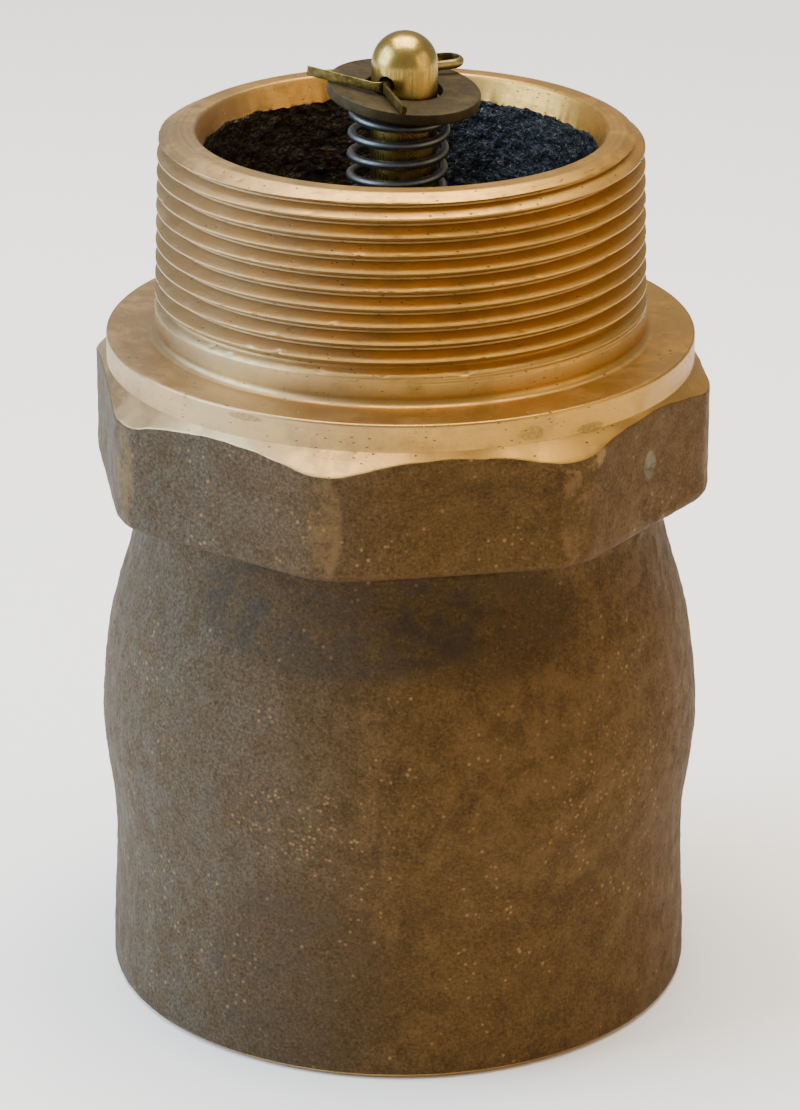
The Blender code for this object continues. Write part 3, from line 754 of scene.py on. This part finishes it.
def make_stem(looks):
    """Round-nosed rod with a drilled cross hole, and a fine thread on its tail."""
    low, high = box_mm("valve_stem")
    count = 96
    turn_angles = np.linspace(0, TURN, count + 1)
    shoulder, thread_top = 89.6, 88.2
    nose = [
        (STEM_RADIUS * math.cos(a), high.z - STEM_RADIUS + STEM_RADIUS * math.sin(a))
        for a in np.radians(np.linspace(0, 88.5, 22))
    ]
    rows = []

    def add(r, z):
        rows.append(ring(turn_angles, r, z))

    add(0.02, low.z)
    add(TAIL_RADIUS - 1.1, low.z)
    add(TAIL_RADIUS - 0.6, low.z + 0.35)
    whole_turns = int((thread_top - low.z) / TAIL_PITCH) + 1
    for turn in [whole + phase for whole in range(-1, whole_turns) for phase in (0, 0.2, 0.4, 0.5, 0.6, 0.8)]:
        z = np.clip(low.z + 0.9 + TAIL_PITCH * (turn + turn_angles / TURN), low.z + 0.9, thread_top)
        climbed = (z - low.z - 0.9) / TAIL_PITCH
        fade = np.clip(climbed, 0, 1) * np.clip((thread_top - z) / TAIL_PITCH, 0, 1)
        add(TAIL_RADIUS - 0.55 * groove_share(climbed - turn_angles / TURN) * fade, z)
    add(TAIL_RADIUS - 0.3, thread_top + 0.4)
    add(TAIL_RADIUS - 0.3, shoulder)
    add(STEM_RADIUS - 0.25, shoulder)
    for z in (shoulder + 0.25, 100, 115, 130, 150, 160, 165, 169, 172, 174):
        add(STEM_RADIUS, z)
    add(STEM_RADIUS, high.z - STEM_RADIUS - 0.1)
    for r, z in nose:
        add(r, z)
    grid = np.array(rows)
    mesh = mesh_from_grid("brass_stem", grid, np.zeros(len(rows), int), weld=0.004)
    stem = piece_from_mesh("brass_stem", mesh, looks)
    drill = drill_along(PIN_ANGLE, PIN_HEIGHT, 1.65, 9)
    step = stem.modifiers.new("pin_hole", "BOOLEAN")
    step.operation = "DIFFERENCE"
    step.solver = "EXACT"
    step.object = drill
    drilled = apply_modifiers(stem)
    drilled.set_sharp_from_angle(angle=math.radians(32))
    settle(drilled)
    bpy.data.objects.remove(drill)
    return place(stem, "poppet_assembly", "brass", "valve_stem")


def drill_along(azimuth, z, radius, half_length):
    bm = bmesh.new()
    bmesh.ops.create_cone(
        bm,
        cap_ends=True,
        segments=48,
        radius1=radius * MM,
        radius2=radius * MM,
        depth=2 * half_length * MM,
    )
    turn = Matrix.Rotation(azimuth, 4, "Z") @ Matrix.Rotation(math.pi / 2, 4, "Y")
    bmesh.ops.transform(bm, matrix=Matrix.Translation((0, 0, z * MM)) @ turn, verts=bm.verts)
    drill = bpy.data.objects.new("drill", new_mesh("drill", bm))
    bpy.context.scene.collection.objects.link(drill)
    return drill


def lean(tilt, azimuth, z):
    """Drops the side at that azimuth, turning about the axis at height z in millimetres."""
    hinge = Vector((-math.sin(azimuth), math.cos(azimuth), 0))
    there = Matrix.Translation((0, 0, z * MM))
    return there @ Matrix.Rotation(tilt, 4, hinge) @ there.inverted()


STEM_LEAN = math.radians(0.6)
# The stem leans about the middle of what passes through the bushing over the whole lift.
HALF_LIFT = 8.5
LEAN_HEIGHT = sum(corner.z for corner in box_mm("guide_bushing")) / 2 + HALF_LIFT


def settle(mesh):
    """Leans a piece on the stem as the stem leans in its guide, within the running clearance."""
    mesh.transform(lean(STEM_LEAN, seen(90), LEAN_HEIGHT))


def hang(piece, slot, node):
    """Puts a ring of the stack on its body, moved sideways to where the leaning stem is at its height."""
    low, high = box_mm(node)
    offset = math.sin(STEM_LEAN) * ((low.z + high.z) / 2 - LEAN_HEIGHT) * MM
    piece.data.transform(Matrix.Translation(around(90, offset, 0)))
    return place(piece, "poppet_assembly", slot, node)


def make_retainer_washer(looks):
    """A punched washer: rolled edge on its upper side, sheared and slightly flared below."""
    outer, hole, top = 13.8, 6.9, WASHER_TOP
    bottom = top - WASHER_THICKNESS
    outline = rounded(
        [
            (outer - 0.15, bottom, 0.05),
            (outer, bottom + 0.3, 0.1),
            (outer, top, 0.18),
            (hole, top, 0.25),
            (hole + 0.1, bottom, 0.1),
        ],
        closed=True,
    )
    mesh = turned_mesh("punched_washer", densified(outline, 0.8), 144)
    shake(mesh, 0.02, 2.6, 71)
    mesh.transform(lean(WASHER_TILT, WASHER_LOW_SIDE, WASHER_TOP))
    settle(mesh)
    piece = piece_from_mesh("punched_washer", mesh, looks)
    return place(piece, "poppet_assembly", "aged_brass", "retainer_washer")


def densified(outline, step):
    """The closed outline with points added along its long edges."""
    result = []
    for here, there in zip(outline, outline[1:] + outline[:1]):
        count = max(1, int((there - here).length / step))
        result += [here.lerp(there, k / count) for k in range(count)]
    return result


def shake(mesh, height, size, seed):
    """Moves a mesh's points by smooth noise this many millimetres high, so that nothing is perfectly flat."""
    points = vertex_data(mesh, "co") / MM
    offset = np.stack([rough(points, size, seed + 10 * k, 2) for k in range(3)], axis=-1)
    set_points(mesh, points + height * offset)


def leg_path(side, bend, length, rise):
    """Inner-face points of one leg, from its tip to the stem, in the pin's own plane."""
    root = STEM_RADIUS + 0.4
    bend_radius = 1.6
    half_split = 0.06
    curve = []
    for turned_by in np.radians(np.linspace(0, bend, 10)):
        along = root + bend_radius * math.sin(turned_by)
        across = half_split + bend_radius * (1 - math.cos(turned_by))
        curve.append(Vector((along, side * across, 0)))
    way = Vector((math.cos(math.radians(bend)), side * math.sin(math.radians(bend)), 0))
    tip = curve[-1] + way * length + Vector((0, 0, rise))
    straight = [tip.lerp(curve[-1], k / 6) for k in range(6)]
    return [*straight, *curve[::-1]]


def pin_path():
    """The inner face of the split pin: leg, eye and leg, x along the pin towards its legs."""
    eye_centre = -(STEM_RADIUS + 7.6)
    eye_radius = 2.25
    neck = -(STEM_RADIUS + 3.35)
    half_split = 0.06
    tangent = math.acos(eye_radius / (neck - eye_centre))
    eye = [
        Vector((eye_centre + eye_radius * math.cos(a), eye_radius * math.sin(a), 0))
        for a in np.linspace(tangent, TURN - tangent, 33)
    ]
    through = [Vector((neck, half_split, 0)), *eye, Vector((neck, -half_split, 0))]
    first = leg_path(1, 55.7, 8.86, -1.53)
    second = leg_path(-1, 82.2, 13.1, 1.35)
    return first + through + second[::-1]


def make_cotter_pin(looks):
    """Half-round wire folded into an eye, its legs spread in front of the stem."""
    round_side = [
        (PIN_RADIUS * math.sin(a), PIN_RADIUS * math.cos(a)) for a in np.linspace(0.12, math.pi - 0.12, 15)
    ]
    flat_side = [(0.02, -0.93), (0, -0.8), (0, 0.8), (0.02, 0.93)]
    flat_side = [(out, up * PIN_RADIUS) for out, up in flat_side]
    mesh = tube_mesh("split_pin", pin_path(), [*round_side, *flat_side])
    turn = Matrix.Rotation(PIN_ANGLE, 4, "Z") @ Matrix.Rotation(PIN_SLOPE, 4, "Y")
    mesh.transform(Matrix.Translation((0, 0, PIN_HEIGHT * MM)) @ turn)
    settle(mesh)
    piece = piece_from_mesh("split_pin", mesh, looks, 40)
    return place(piece, "poppet_assembly", "aged_brass", "cotter_pin")


def spring_line():
    """Centre line of the return spring: closed end coils, its top one under the tilted washer."""
    turns, steps, bow = 12.25, 40, 0.9
    bow_way = Vector((math.cos(math.radians(165)), math.sin(math.radians(165)), 0))
    low_side = Vector((math.cos(WASHER_LOW_SIDE), math.sin(WASHER_LOW_SIDE), 0))
    bottom = box_mm("return_spring")[0].z + WIRE_RADIUS
    top = WASHER_TOP - WASHER_THICKNESS / math.cos(WASHER_TILT) - 0.3 - WIRE_RADIUS
    washer_drop = math.tan(WASHER_TILT) * (SPRING_RADIUS + WIRE_RADIUS)
    closed = 2 * WIRE_RADIUS + 0.15
    heights = np.interp(
        np.linspace(0, turns, round(turns * steps) + 1),
        [0, 0.85, 1.15, turns - 1.15, turns - 0.85, turns],
        [bottom, bottom + closed * 0.85, bottom + closed * 1.2, top - closed * 1.2, top - closed * 0.85, top],
    )
    line = []
    for i, height in enumerate(heights):
        turn = i / steps
        share = turn / turns
        angle = TURN * (turn + SPRING_START)
        outward = Vector((math.cos(angle), math.sin(angle), 0))
        centre = outward * SPRING_RADIUS + bow_way * bow * math.sin(math.pi * share)
        slope = max(0.0, 2 * share - 1) * washer_drop / SPRING_RADIUS
        centre.z = height - slope * centre.dot(low_side)
        line.append(centre)
    return line


def make_spring(looks):
    section = [(WIRE_RADIUS * math.cos(a), WIRE_RADIUS * math.sin(a)) for a in np.linspace(0, TURN, 17)[:-1]]
    mesh = tube_mesh("steel_spring", spring_line(), section)
    piece = piece_from_mesh("steel_spring", mesh, looks, 50)
    place(piece, "return_spring", "stainless_steel", "return_spring")
    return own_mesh(piece)


# ---- the poppet ---------------------------------------------------------------------------------
def make_poppet(bronze, rubber, brass):
    hole = TAIL_RADIUS + 0.3
    low, high = box_mm("disc_retainer")
    plate = [(high.x, low.z, 0.2), (high.x, high.z, 0.8), (hole, high.z, 0.3), (hole, low.z, 0.2)]
    piece = turned("brass_disc_retainer", rounded(plate, closed=True), brass, 160)
    hang(piece, "brass", "disc_retainer")

    piece = turned("rubber_seat_disc", ring_outline("seat_disc", hole, 0.4), rubber, 160)
    hang(piece, "rubber", "seat_disc")

    low, high = box_mm("poppet_disc")
    disc_low, disc_high = box_mm("seat_disc")
    recess, floor, boss = disc_high.x + 0.3, disc_low.z - 0.3, 12.0
    poppet = [
        (boss, low.z, 0.8),
        (boss + 2, low.z + 3.5, 2.0),
        (high.x - 3.5, low.z + 4.5, 3.0),
        (high.x, low.z + 6.5, 1.2),
        (high.x, high.z, 0.4),
        (recess, high.z, 0.2),
        (recess, floor, 0.3),
        (hole, floor, 0.2),
        (hole, low.z, 0.3),
    ]
    piece = turned("bronze_poppet", rounded(poppet, closed=True), bronze, 192)
    hang(piece, "cast_bronze", "poppet_disc")


def make_fasteners(looks):
    hole = TAIL_RADIUS + 0.3
    piece = turned("brass_plain_washer", ring_outline("plain_washer", hole, 0.25), looks, 96)
    hang(piece, "brass", "plain_washer")
    make_lock_washer(looks, hole)
    make_nut(looks, hole)


def make_lock_washer(looks, hole):
    """One turn of square wire, its ends a little apart where the ring is split."""
    low, high = box_mm("lock_washer")
    outer = high.x
    middle, half = (outer + hole) / 2, (outer - hole) / 2
    half_height = (high.z - low.z) / 2
    split = math.radians(5)
    line = [
        Vector((middle * math.cos(a), middle * math.sin(a), low.z + half_height))
        for a in np.linspace(split, TURN - split, 73)
    ]
    corner = 0.25
    section = []
    for a, sx, sz in ((0, 1, 1), (1, -1, 1), (2, -1, -1), (3, 1, -1)):
        for step in np.linspace(0, math.pi / 2, 4):
            angle = a * math.pi / 2 + step
            x = sx * (half - corner) + corner * math.cos(angle)
            section.append((x, sz * (half_height - corner) + corner * math.sin(angle)))
    piece = piece_from_mesh("steel_lock_washer", tube_mesh("steel_lock_washer", line, section), looks)
    hang(piece, "stainless_steel", "lock_washer")


def make_nut(looks, hole):
    """Hexagon nut: its corners are cut by a turned cone at both ends."""
    low, high = box_mm("disc_nut")
    count = 144
    apothem = 9 / 32 * INCH
    slope = math.tan(math.radians(30))
    angles = np.linspace(0, TURN, count + 1)
    third = math.pi / 3
    hexagon = apothem / np.cos((angles + third / 2) % third - third / 2)
    face = apothem * 0.96
    cut = (hexagon - face) * slope
    edge = 0.5
    outline = (
        (face, low.z),
        ((hexagon + face) / 2, low.z + cut / 2),
        (hexagon, low.z + cut),
        (hexagon, (low.z + high.z) / 2),
        (hexagon, high.z - cut),
        ((hexagon + face) / 2, high.z - cut / 2),
        (face, high.z),
        (hole + edge, high.z),
        (hole, high.z - edge),
        (hole, low.z + edge),
        (hole + edge, low.z),
    )
    grid = np.array([ring(angles, r, z) for r, z in outline])
    mesh = mesh_from_grid("brass_nut", grid, np.zeros(len(outline), int), weld=0.002)
    piece = piece_from_mesh("brass_nut", mesh, looks, 20)
    hang(piece, "brass", "disc_nut")


# ---- materials ----------------------------------------------------------------------------------
def turned_bronze(name, light, dark, oxide=0.35):
    """Lathe-turned bronze: fine tool lines round the axis, painted shade in the thread roots, dull patches,
    pits, and painted reflections tinting the left side grey and the right side orange.
    """
    g = Graph(name, 1.0)
    lines = g.noise(g.spread(), 0.25, 3.0, 0.7)
    broad = g.noise(g.vector("MULTIPLY", g.mm, (0.35, 0.35, 1.0)), 6.0, 5.0)
    patches = g.ramp(g.noise(g.mm, 7.0, 6.0, 0.7), 0.44, 0.68)
    grain = g.noise(g.mm, 0.45, 4.0, 0.7)
    flat = g.vector("MULTIPLY", g.mm, (0.5, 0.5, 1.4))
    pits = g.ramp(g.cells(flat, 1.1), 0.15, 0.07)
    pits = g.times(pits, g.ramp(g.noise(g.mm, 6.0, 3.0), 0.43, 0.53))
    stains = g.ramp(g.noise(g.mm, 2.2, 4.0, 0.7), 0.60, 0.70)
    stains = g.times(stains, g.ramp(g.noise(g.mm, 14.0, 2.0), 0.47, 0.58))
    groove = g.groove()
    colour = g.mix(g.ramp(broad, 0.35, 0.7), light, tuple(0.78 * c for c in light))
    colour = g.mix(g.times(lines, 0.4), colour, tuple(0.6 * c for c in light))
    colour = g.mix(g.times(patches, oxide), colour, dark)
    colour = g.mix(g.ramp(grain, 0.45, 0.7, 0.0, 0.25), colour, dark)
    # Painted shade: darker orange down each thread's flank, near black in its root.
    colour = g.mix(g.ramp(groove, 0.3, 1.0, 0.0, 0.5), colour, (0.36, 0.20, 0.05))
    colour = g.mix(g.ramp(groove, 0.88, 1.0, 0.0, 0.35), colour, (0.12, 0.06, 0.02))
    # Painted reflections: grey from the cool light on the left side, orange from the warm light on the right
    # side.
    colour = g.mix(g.side(-72, 8.0, 46.0, 0.55), colour, (0.34, 0.285, 0.20))
    colour = g.mix(g.side(80, 6.0, 44.0, 0.60), colour, (0.36, 0.20, 0.040))
    for centre, radii in DIRTY_SPOTS:
        spot = g.times(g.near(centre, radii), g.ramp(grain, 0.35, 0.6, 0.3, 1.0))
        stains = g.math("MAXIMUM", stains, spot)
    colour = g.mix(g.times(stains, 0.6), colour, (0.12, 0.095, 0.03))
    colour = g.mix(g.times(pits, 0.85), colour, (0.05, 0.032, 0.012))
    roughness = g.math("ADD", g.ramp(lines, 0.2, 0.8, 0.34, 0.46), g.times(patches, 0.14))
    roughness = g.math("ADD", roughness, g.times(groove, 0.10), clamp=True)
    relief = g.bump(lines, 0.02, 0.7)
    relief = g.bump(grain, 0.02, 0.6, relief)
    relief = g.bump(g.math("SUBTRACT", 1.0, pits), 0.15, 0.8, relief)
    return g.finish(colour, roughness, relief)


def cast_skin():
    """Sand-cast bronze left as it came from the mould: brown, mottled, speckled, softly shining, with a
    painted cool reflection on the left, a painted warm reflection on the right and painted shadow under the
    octagon.
    """
    g = Graph("cast_bronze_skin", 0.25, specular=0.08)
    clouds = g.noise(g.mm, 24.0, 4.0, 0.55)
    mottle = g.noise(g.mm, 5.5, 6.0, 0.75)
    grain = g.noise(g.mm, 0.6, 4.0, 0.78)
    colour = g.mix(g.ramp(mottle, 0.36, 0.66), (0.059, 0.031, 0.008), (0.099, 0.052, 0.013))
    colour = g.mix(g.ramp(clouds, 0.38, 0.62, 0.0, 0.5), colour, (0.085, 0.045, 0.011))
    colour = g.mix(g.ramp(grain, 0.50, 0.70, 0.0, 0.55), colour, (0.16, 0.090, 0.028))
    colour = g.mix(g.ramp(grain, 0.50, 0.30, 0.0, 0.70), colour, (0.016, 0.009, 0.003))
    # Painted reflection of the cool light: a grey tint over the left side.
    grey = g.mix(g.ramp(grain, 0.25, 0.75), (0.026, 0.021, 0.015), (0.105, 0.090, 0.070))
    left = g.side(-78, 4.0, 50.0)
    colour = g.mix(g.times(left, g.ramp(mottle, 0.3, 0.65, 0.45, 0.9)), colour, grey)
    specks = g.ramp(g.cells(g.mm, 1.9), 0.24, 0.10)
    specks = g.times(specks, g.ramp(g.noise(g.mm, 11.0, 3.0), 0.50, 0.60))
    for centre, radii in WORN_SPECKS:
        rubbed = g.times(g.near(centre, radii), g.ramp(g.cells(g.mm, 1.2), 0.34, 0.14))
        rubbed = g.times(rubbed, g.ramp(g.noise(g.mm, 4.0, 3.0), 0.44, 0.56))
        specks = g.math("MAXIMUM", specks, rubbed)
    colour = g.mix(g.times(specks, 0.55), colour, (0.30, 0.17, 0.06))
    # Stains and worn patches, with painted shadow and painted reflection, from the table.
    for centre, radii, share, tint in STAINS_AND_PAINTED_LIGHT:
        edge = g.times(g.near(centre, radii), g.ramp(mottle, 0.38, 0.60, 0.1, 1.0))
        colour = g.mix(g.times(edge, share), colour, tint)
    groove = g.groove()
    # Painted shadow: near black where the groove values mark the skin under the octagon.
    colour = g.mix(g.times(groove, 0.85), colour, (0.008, 0.005, 0.002))
    roughness = g.ramp(mottle, 0.3, 0.7, 0.70, 0.55)
    relief = g.bump(g.noise(g.mm, 1.0, 5.0, 0.8), 0.26, 0.9)
    relief = g.bump(g.math("SUBTRACT", 1.0, specks), 0.06, 0.5, relief)
    return g.finish(colour, roughness, relief)


OCTAGON_CORNERS = [around(RIGHT_FLAT + 22.5 + 45 * k, 57.3, 108) for k in range(8)]
# Centre and radii in millimetres of dark green spots on the turned shoulder.
DIRTY_SPOTS = (
    (around(25, 53.6, 122.6), (2.6, 2.6, 1.5)),
    (around(31, 52.0, 119.0), (2.0, 2.0, 1.4)),
    (around(38, 53.6, 121.4), (3.4, 3.4, 1.0)),
    (around(-3, 53.8, 119.6), (1.0, 1.0, 0.7)),
    (around(-30, 53.6, 124.6), (4.0, 4.0, 0.7)),
)
# Centre, radii in millimetres, share and colour of each patch on the cast skin: stains, worn patches, painted
# shadow under the octagon and a painted warm reflection on the right.
STAINS_AND_PAINTED_LIGHT = (
    # Painted shadow: a dark band under the octagon.
    (around(-14, 50, 87), (32, 32, 12), 0.55, (0.020, 0.018, 0.016)),
    (around(18, 50, 86), (20, 20, 12), 0.55, (0.020, 0.013, 0.007)),
    (around(-20, 55, 18), (20, 20, 22), 0.35, (0.024, 0.016, 0.010)),
    (around(34, 57, 117.5), (6, 6, 3.2), 0.6, (0.30, 0.17, 0.06)),
    (around(RIGHT_FLAT, 54, FLAT_DENT_HEIGHT), (2.3, 2.3, 3.2), 0.75, (0.17, 0.15, 0.105)),
    # Painted reflection of the warm light on the right side.
    (around(30, 54, 58), (24, 24, 26), 0.3, (0.115, 0.060, 0.016)),
    *((corner, (3.6, 3.6, 11), 0.4, (0.19, 0.11, 0.042)) for corner in OCTAGON_CORNERS),
)
# Centre and radii in millimetres of patches where the skin is rubbed off its highest grains.
WORN_SPECKS = (
    (around(-16, 55, 50), (20, 20, 8)),
    (around(42, 55, 52), (12, 12, 14)),
)


def dark_casting(name, colour_low, colour_high, depth):
    """The unfinished inside of the casting: burnt-on sand, brown, and on the right a painted reflection of
    the cool light that turns it blue-black with bright specks.
    """
    g = Graph(name, 0.2, specular=0.35)
    lumps = g.noise(g.mm, 1.0, 3.0, 0.6)
    mottle = g.noise(g.mm, 6.0, 4.0)
    # Painted reflection of the cool light: the right side turns blue-black.
    right = g.side(90, -6.0, 16.0)
    burnt = g.mix(g.ramp(lumps, 0.40, 0.64), colour_low, colour_high)
    blue = g.mix(g.ramp(lumps, 0.46, 0.68), (0.004, 0.0045, 0.006), (0.030, 0.034, 0.042))
    colour = g.mix(right, burnt, blue)
    colour = g.mix(g.ramp(mottle, 0.50, 0.68, 0.0, 0.6), colour, tuple(0.5 * c for c in colour_low))
    # Painted glints of the cool light on the right side.
    sparkle = g.times(g.ramp(g.noise(g.mm, 0.7, 2.0), 0.62, 0.70), right)
    colour = g.mix(g.times(sparkle, 0.6), colour, (0.20, 0.22, 0.27))
    roughness = g.ramp(lumps, 0.3, 0.75, 0.62, 0.34)
    return g.finish(colour, roughness, g.bump(lumps, depth, 1.0))


def brushed(name, light, dark, stretch, size, roughness, depth, tarnish):
    """Drawn or polished metal: fine scratches along one way, with a little uneven tarnish."""
    g = Graph(name, 1.0)
    streaks = g.noise(g.vector("MULTIPLY", g.mm, stretch), size, 4.0, 0.65)
    cloudy = g.noise(g.mm, 3.2, 5.0, 0.6)
    colour = g.mix(g.ramp(streaks, 0.3, 0.7), light, tuple(0.68 * c for c in light))
    colour = g.mix(g.ramp(cloudy, 0.48, 0.72, 0.0, tarnish), colour, dark)
    along = g.ramp(streaks, 0.25, 0.75, roughness - 0.06, roughness + 0.08)
    uneven = g.math("ADD", along, g.ramp(cloudy, 0.5, 0.75, 0.0, 0.15))
    return g.finish(colour, uneven, g.bump(streaks, depth, 0.6))


def tarnished(name, base, bright, dark, metallic, roughness):
    """Old brass with a brown skin, rubbed brighter here and there."""
    g = Graph(name, metallic, specular=0.2)
    mottle = g.noise(g.mm, 2.8, 6.0, 0.7)
    fine = g.noise(g.mm, 0.35, 3.0, 0.6)
    colour = g.mix(g.ramp(mottle, 0.38, 0.66), dark, base)
    colour = g.mix(g.ramp(fine, 0.55, 0.8, 0.0, 0.6), colour, bright)
    colour = g.mix(g.ramp(g.noise(g.mm, 7.0, 3.0), 0.52, 0.7, 0.0, 0.45), colour, bright)
    uneven = g.ramp(mottle, 0.3, 0.7, roughness + 0.1, roughness - 0.06)
    return g.finish(colour, uneven, g.bump(fine, 0.03, 0.7))


def moulded_rubber():
    g = Graph("black_nitrile_rubber", 0.0)
    bloom = g.noise(g.mm, 5.0, 5.0, 0.6)
    colour = g.mix(g.ramp(bloom, 0.4, 0.7), (0.012, 0.012, 0.013), (0.045, 0.044, 0.043))
    return g.finish(colour, g.ramp(bloom, 0.3, 0.7, 0.55, 0.75), g.bump(g.noise(g.mm, 0.5, 3.0), 0.03, 0.6))


def pressed_fibre():
    g = Graph("red_fibre", 0.0)
    fibres = g.noise(g.vector("MULTIPLY", g.mm, (1.0, 1.0, 4.0)), 0.9, 6.0, 0.75)
    colour = g.mix(g.ramp(fibres, 0.35, 0.7), (0.20, 0.05, 0.03), (0.40, 0.13, 0.08))
    return g.finish(colour, 0.85, g.bump(fibres, 0.06, 0.8))


# ---- floor, light and camera --------------------------------------------------------------------
def plain_material(name, colour, roughness):
    made = bpy.data.materials.new(name)
    made.use_nodes = True
    shader = made.node_tree.nodes["Principled BSDF"]
    shader.inputs["Base Color"].default_value = (*colour, 1)
    shader.inputs["Roughness"].default_value = roughness
    return made


def make_floor():
    bm = bmesh.new()
    bmesh.ops.create_grid(bm, x_segments=2, y_segments=2, size=15)
    paper = plain_material("pale_paper", (0.95, 0.95, 0.945), 0.9)
    floor = piece_from_mesh("studio_floor", new_mesh("studio_floor", bm), [paper])
    floor.location.z = cad_box[0].z - 0.0002


def area_light(name, place_at, target, size, power, colour):
    data = bpy.data.lights.new(name, "AREA")
    data.shape = "RECTANGLE"
    data.size, data.size_y = size
    data.energy = power
    data.color = colour
    lamp = bpy.data.objects.new(name, data)
    lamp.location = place_at
    lamp.rotation_euler = (Vector(target) - Vector(place_at)).to_track_quat("-Z", "Y").to_euler()
    bpy.context.scene.collection.objects.link(lamp)


def make_lights():
    middle = (0, 0, 0.1)
    area_light("ceiling", around(180, 0.14, 1.25), middle, (1.1, 0.9), 37, (1.0, 0.90, 0.78))
    area_light("window", around(-82, 1.0, 0.55), middle, (0.8, 0.9), 25, (0.60, 0.79, 1.0))
    area_light("warm_wall", around(70, 1.1, 0.45), middle, (0.9, 0.8), 5, (1.0, 0.74, 0.44))
    world = bpy.data.worlds.new("studio")
    world.use_nodes = True
    background = world.node_tree.nodes["Background"]
    background.inputs["Color"].default_value = (1.0, 0.97, 0.93, 1)
    background.inputs["Strength"].default_value = 0.45
    bpy.context.scene.world = world


def make_camera():
    """A long lens from a little above, with the picture moved down so that the valve sits midway."""
    data = bpy.data.cameras.new("camera")
    data.lens = 139.7
    data.shift_y = -0.0432
    camera = bpy.data.objects.new("camera", data)
    camera.location = (-0.1236, -0.7337, 0.3794)
    target = Vector((0, 0, (cad_box[0].z + cad_box[1].z) / 2 - 0.0004))
    way = (target - camera.location).to_track_quat("-Z", "Y")
    roll_degrees = 0.199
    roll = Matrix.Rotation(math.radians(roll_degrees), 3, "Z").to_quaternion()
    camera.rotation_euler = (way @ roll).to_euler()
    bpy.context.scene.collection.objects.link(camera)
    bpy.context.scene.camera = camera


def main():
    make_camera()
    make_lights()
    make_floor()
    turned_metal = turned_bronze("turned_bronze", (0.54, 0.305, 0.075), (0.26, 0.155, 0.045))
    outer_skin = cast_skin()
    inner_skin = dark_casting("burnt_bore", (0.006, 0.004, 0.001), (0.040, 0.024, 0.009), 0.9)
    brass = turned_bronze("turned_brass", (0.60, 0.42, 0.14), (0.33, 0.22, 0.08), 0.2)
    lengthwise, across_wire = (1.0, 1.0, 0.06), (1.0, 1.0, 3.0)
    rod_colours = (0.47, 0.325, 0.085), (0.20, 0.13, 0.035)
    rod = brushed("drawn_brass", *rod_colours, lengthwise, 0.5, 0.27, 0.01, 0.35)
    washer_colours = (0.044, 0.031, 0.011), (0.085, 0.061, 0.023), (0.025, 0.018, 0.007)
    washer = tarnished("brown_brass", *washer_colours, 0.3, 0.55)
    pin_colours = (0.17, 0.125, 0.034), (0.36, 0.28, 0.10), (0.070, 0.050, 0.014)
    pin = tarnished("olive_brass", *pin_colours, 0.9, 0.36)
    wire_colours = (0.15, 0.16, 0.165), (0.06, 0.055, 0.045)
    wire = brushed("spring_wire", *wire_colours, across_wire, 0.3, 0.44, 0.008, 0.5)

    body = piece_from_mesh("bronze_body", body_mesh(), [turned_metal, outer_skin, inner_skin])
    place(body, "valve_body", "cast_bronze", "valve_body")
    make_seat_ring([brass])
    make_gasket([pressed_fibre()])
    make_spider([dark_casting("dark_guide_casting", (0.020, 0.014, 0.008), (0.08, 0.056, 0.03), 0.25)])
    make_bushing([brass])
    make_spring_seat([washer])
    make_stem([rod])
    make_retainer_washer([washer])
    make_cotter_pin([pin])
    make_spring([wire])
    make_poppet([turned_metal], [moulded_rubber()], [brass])
    make_fasteners([brass])


main()
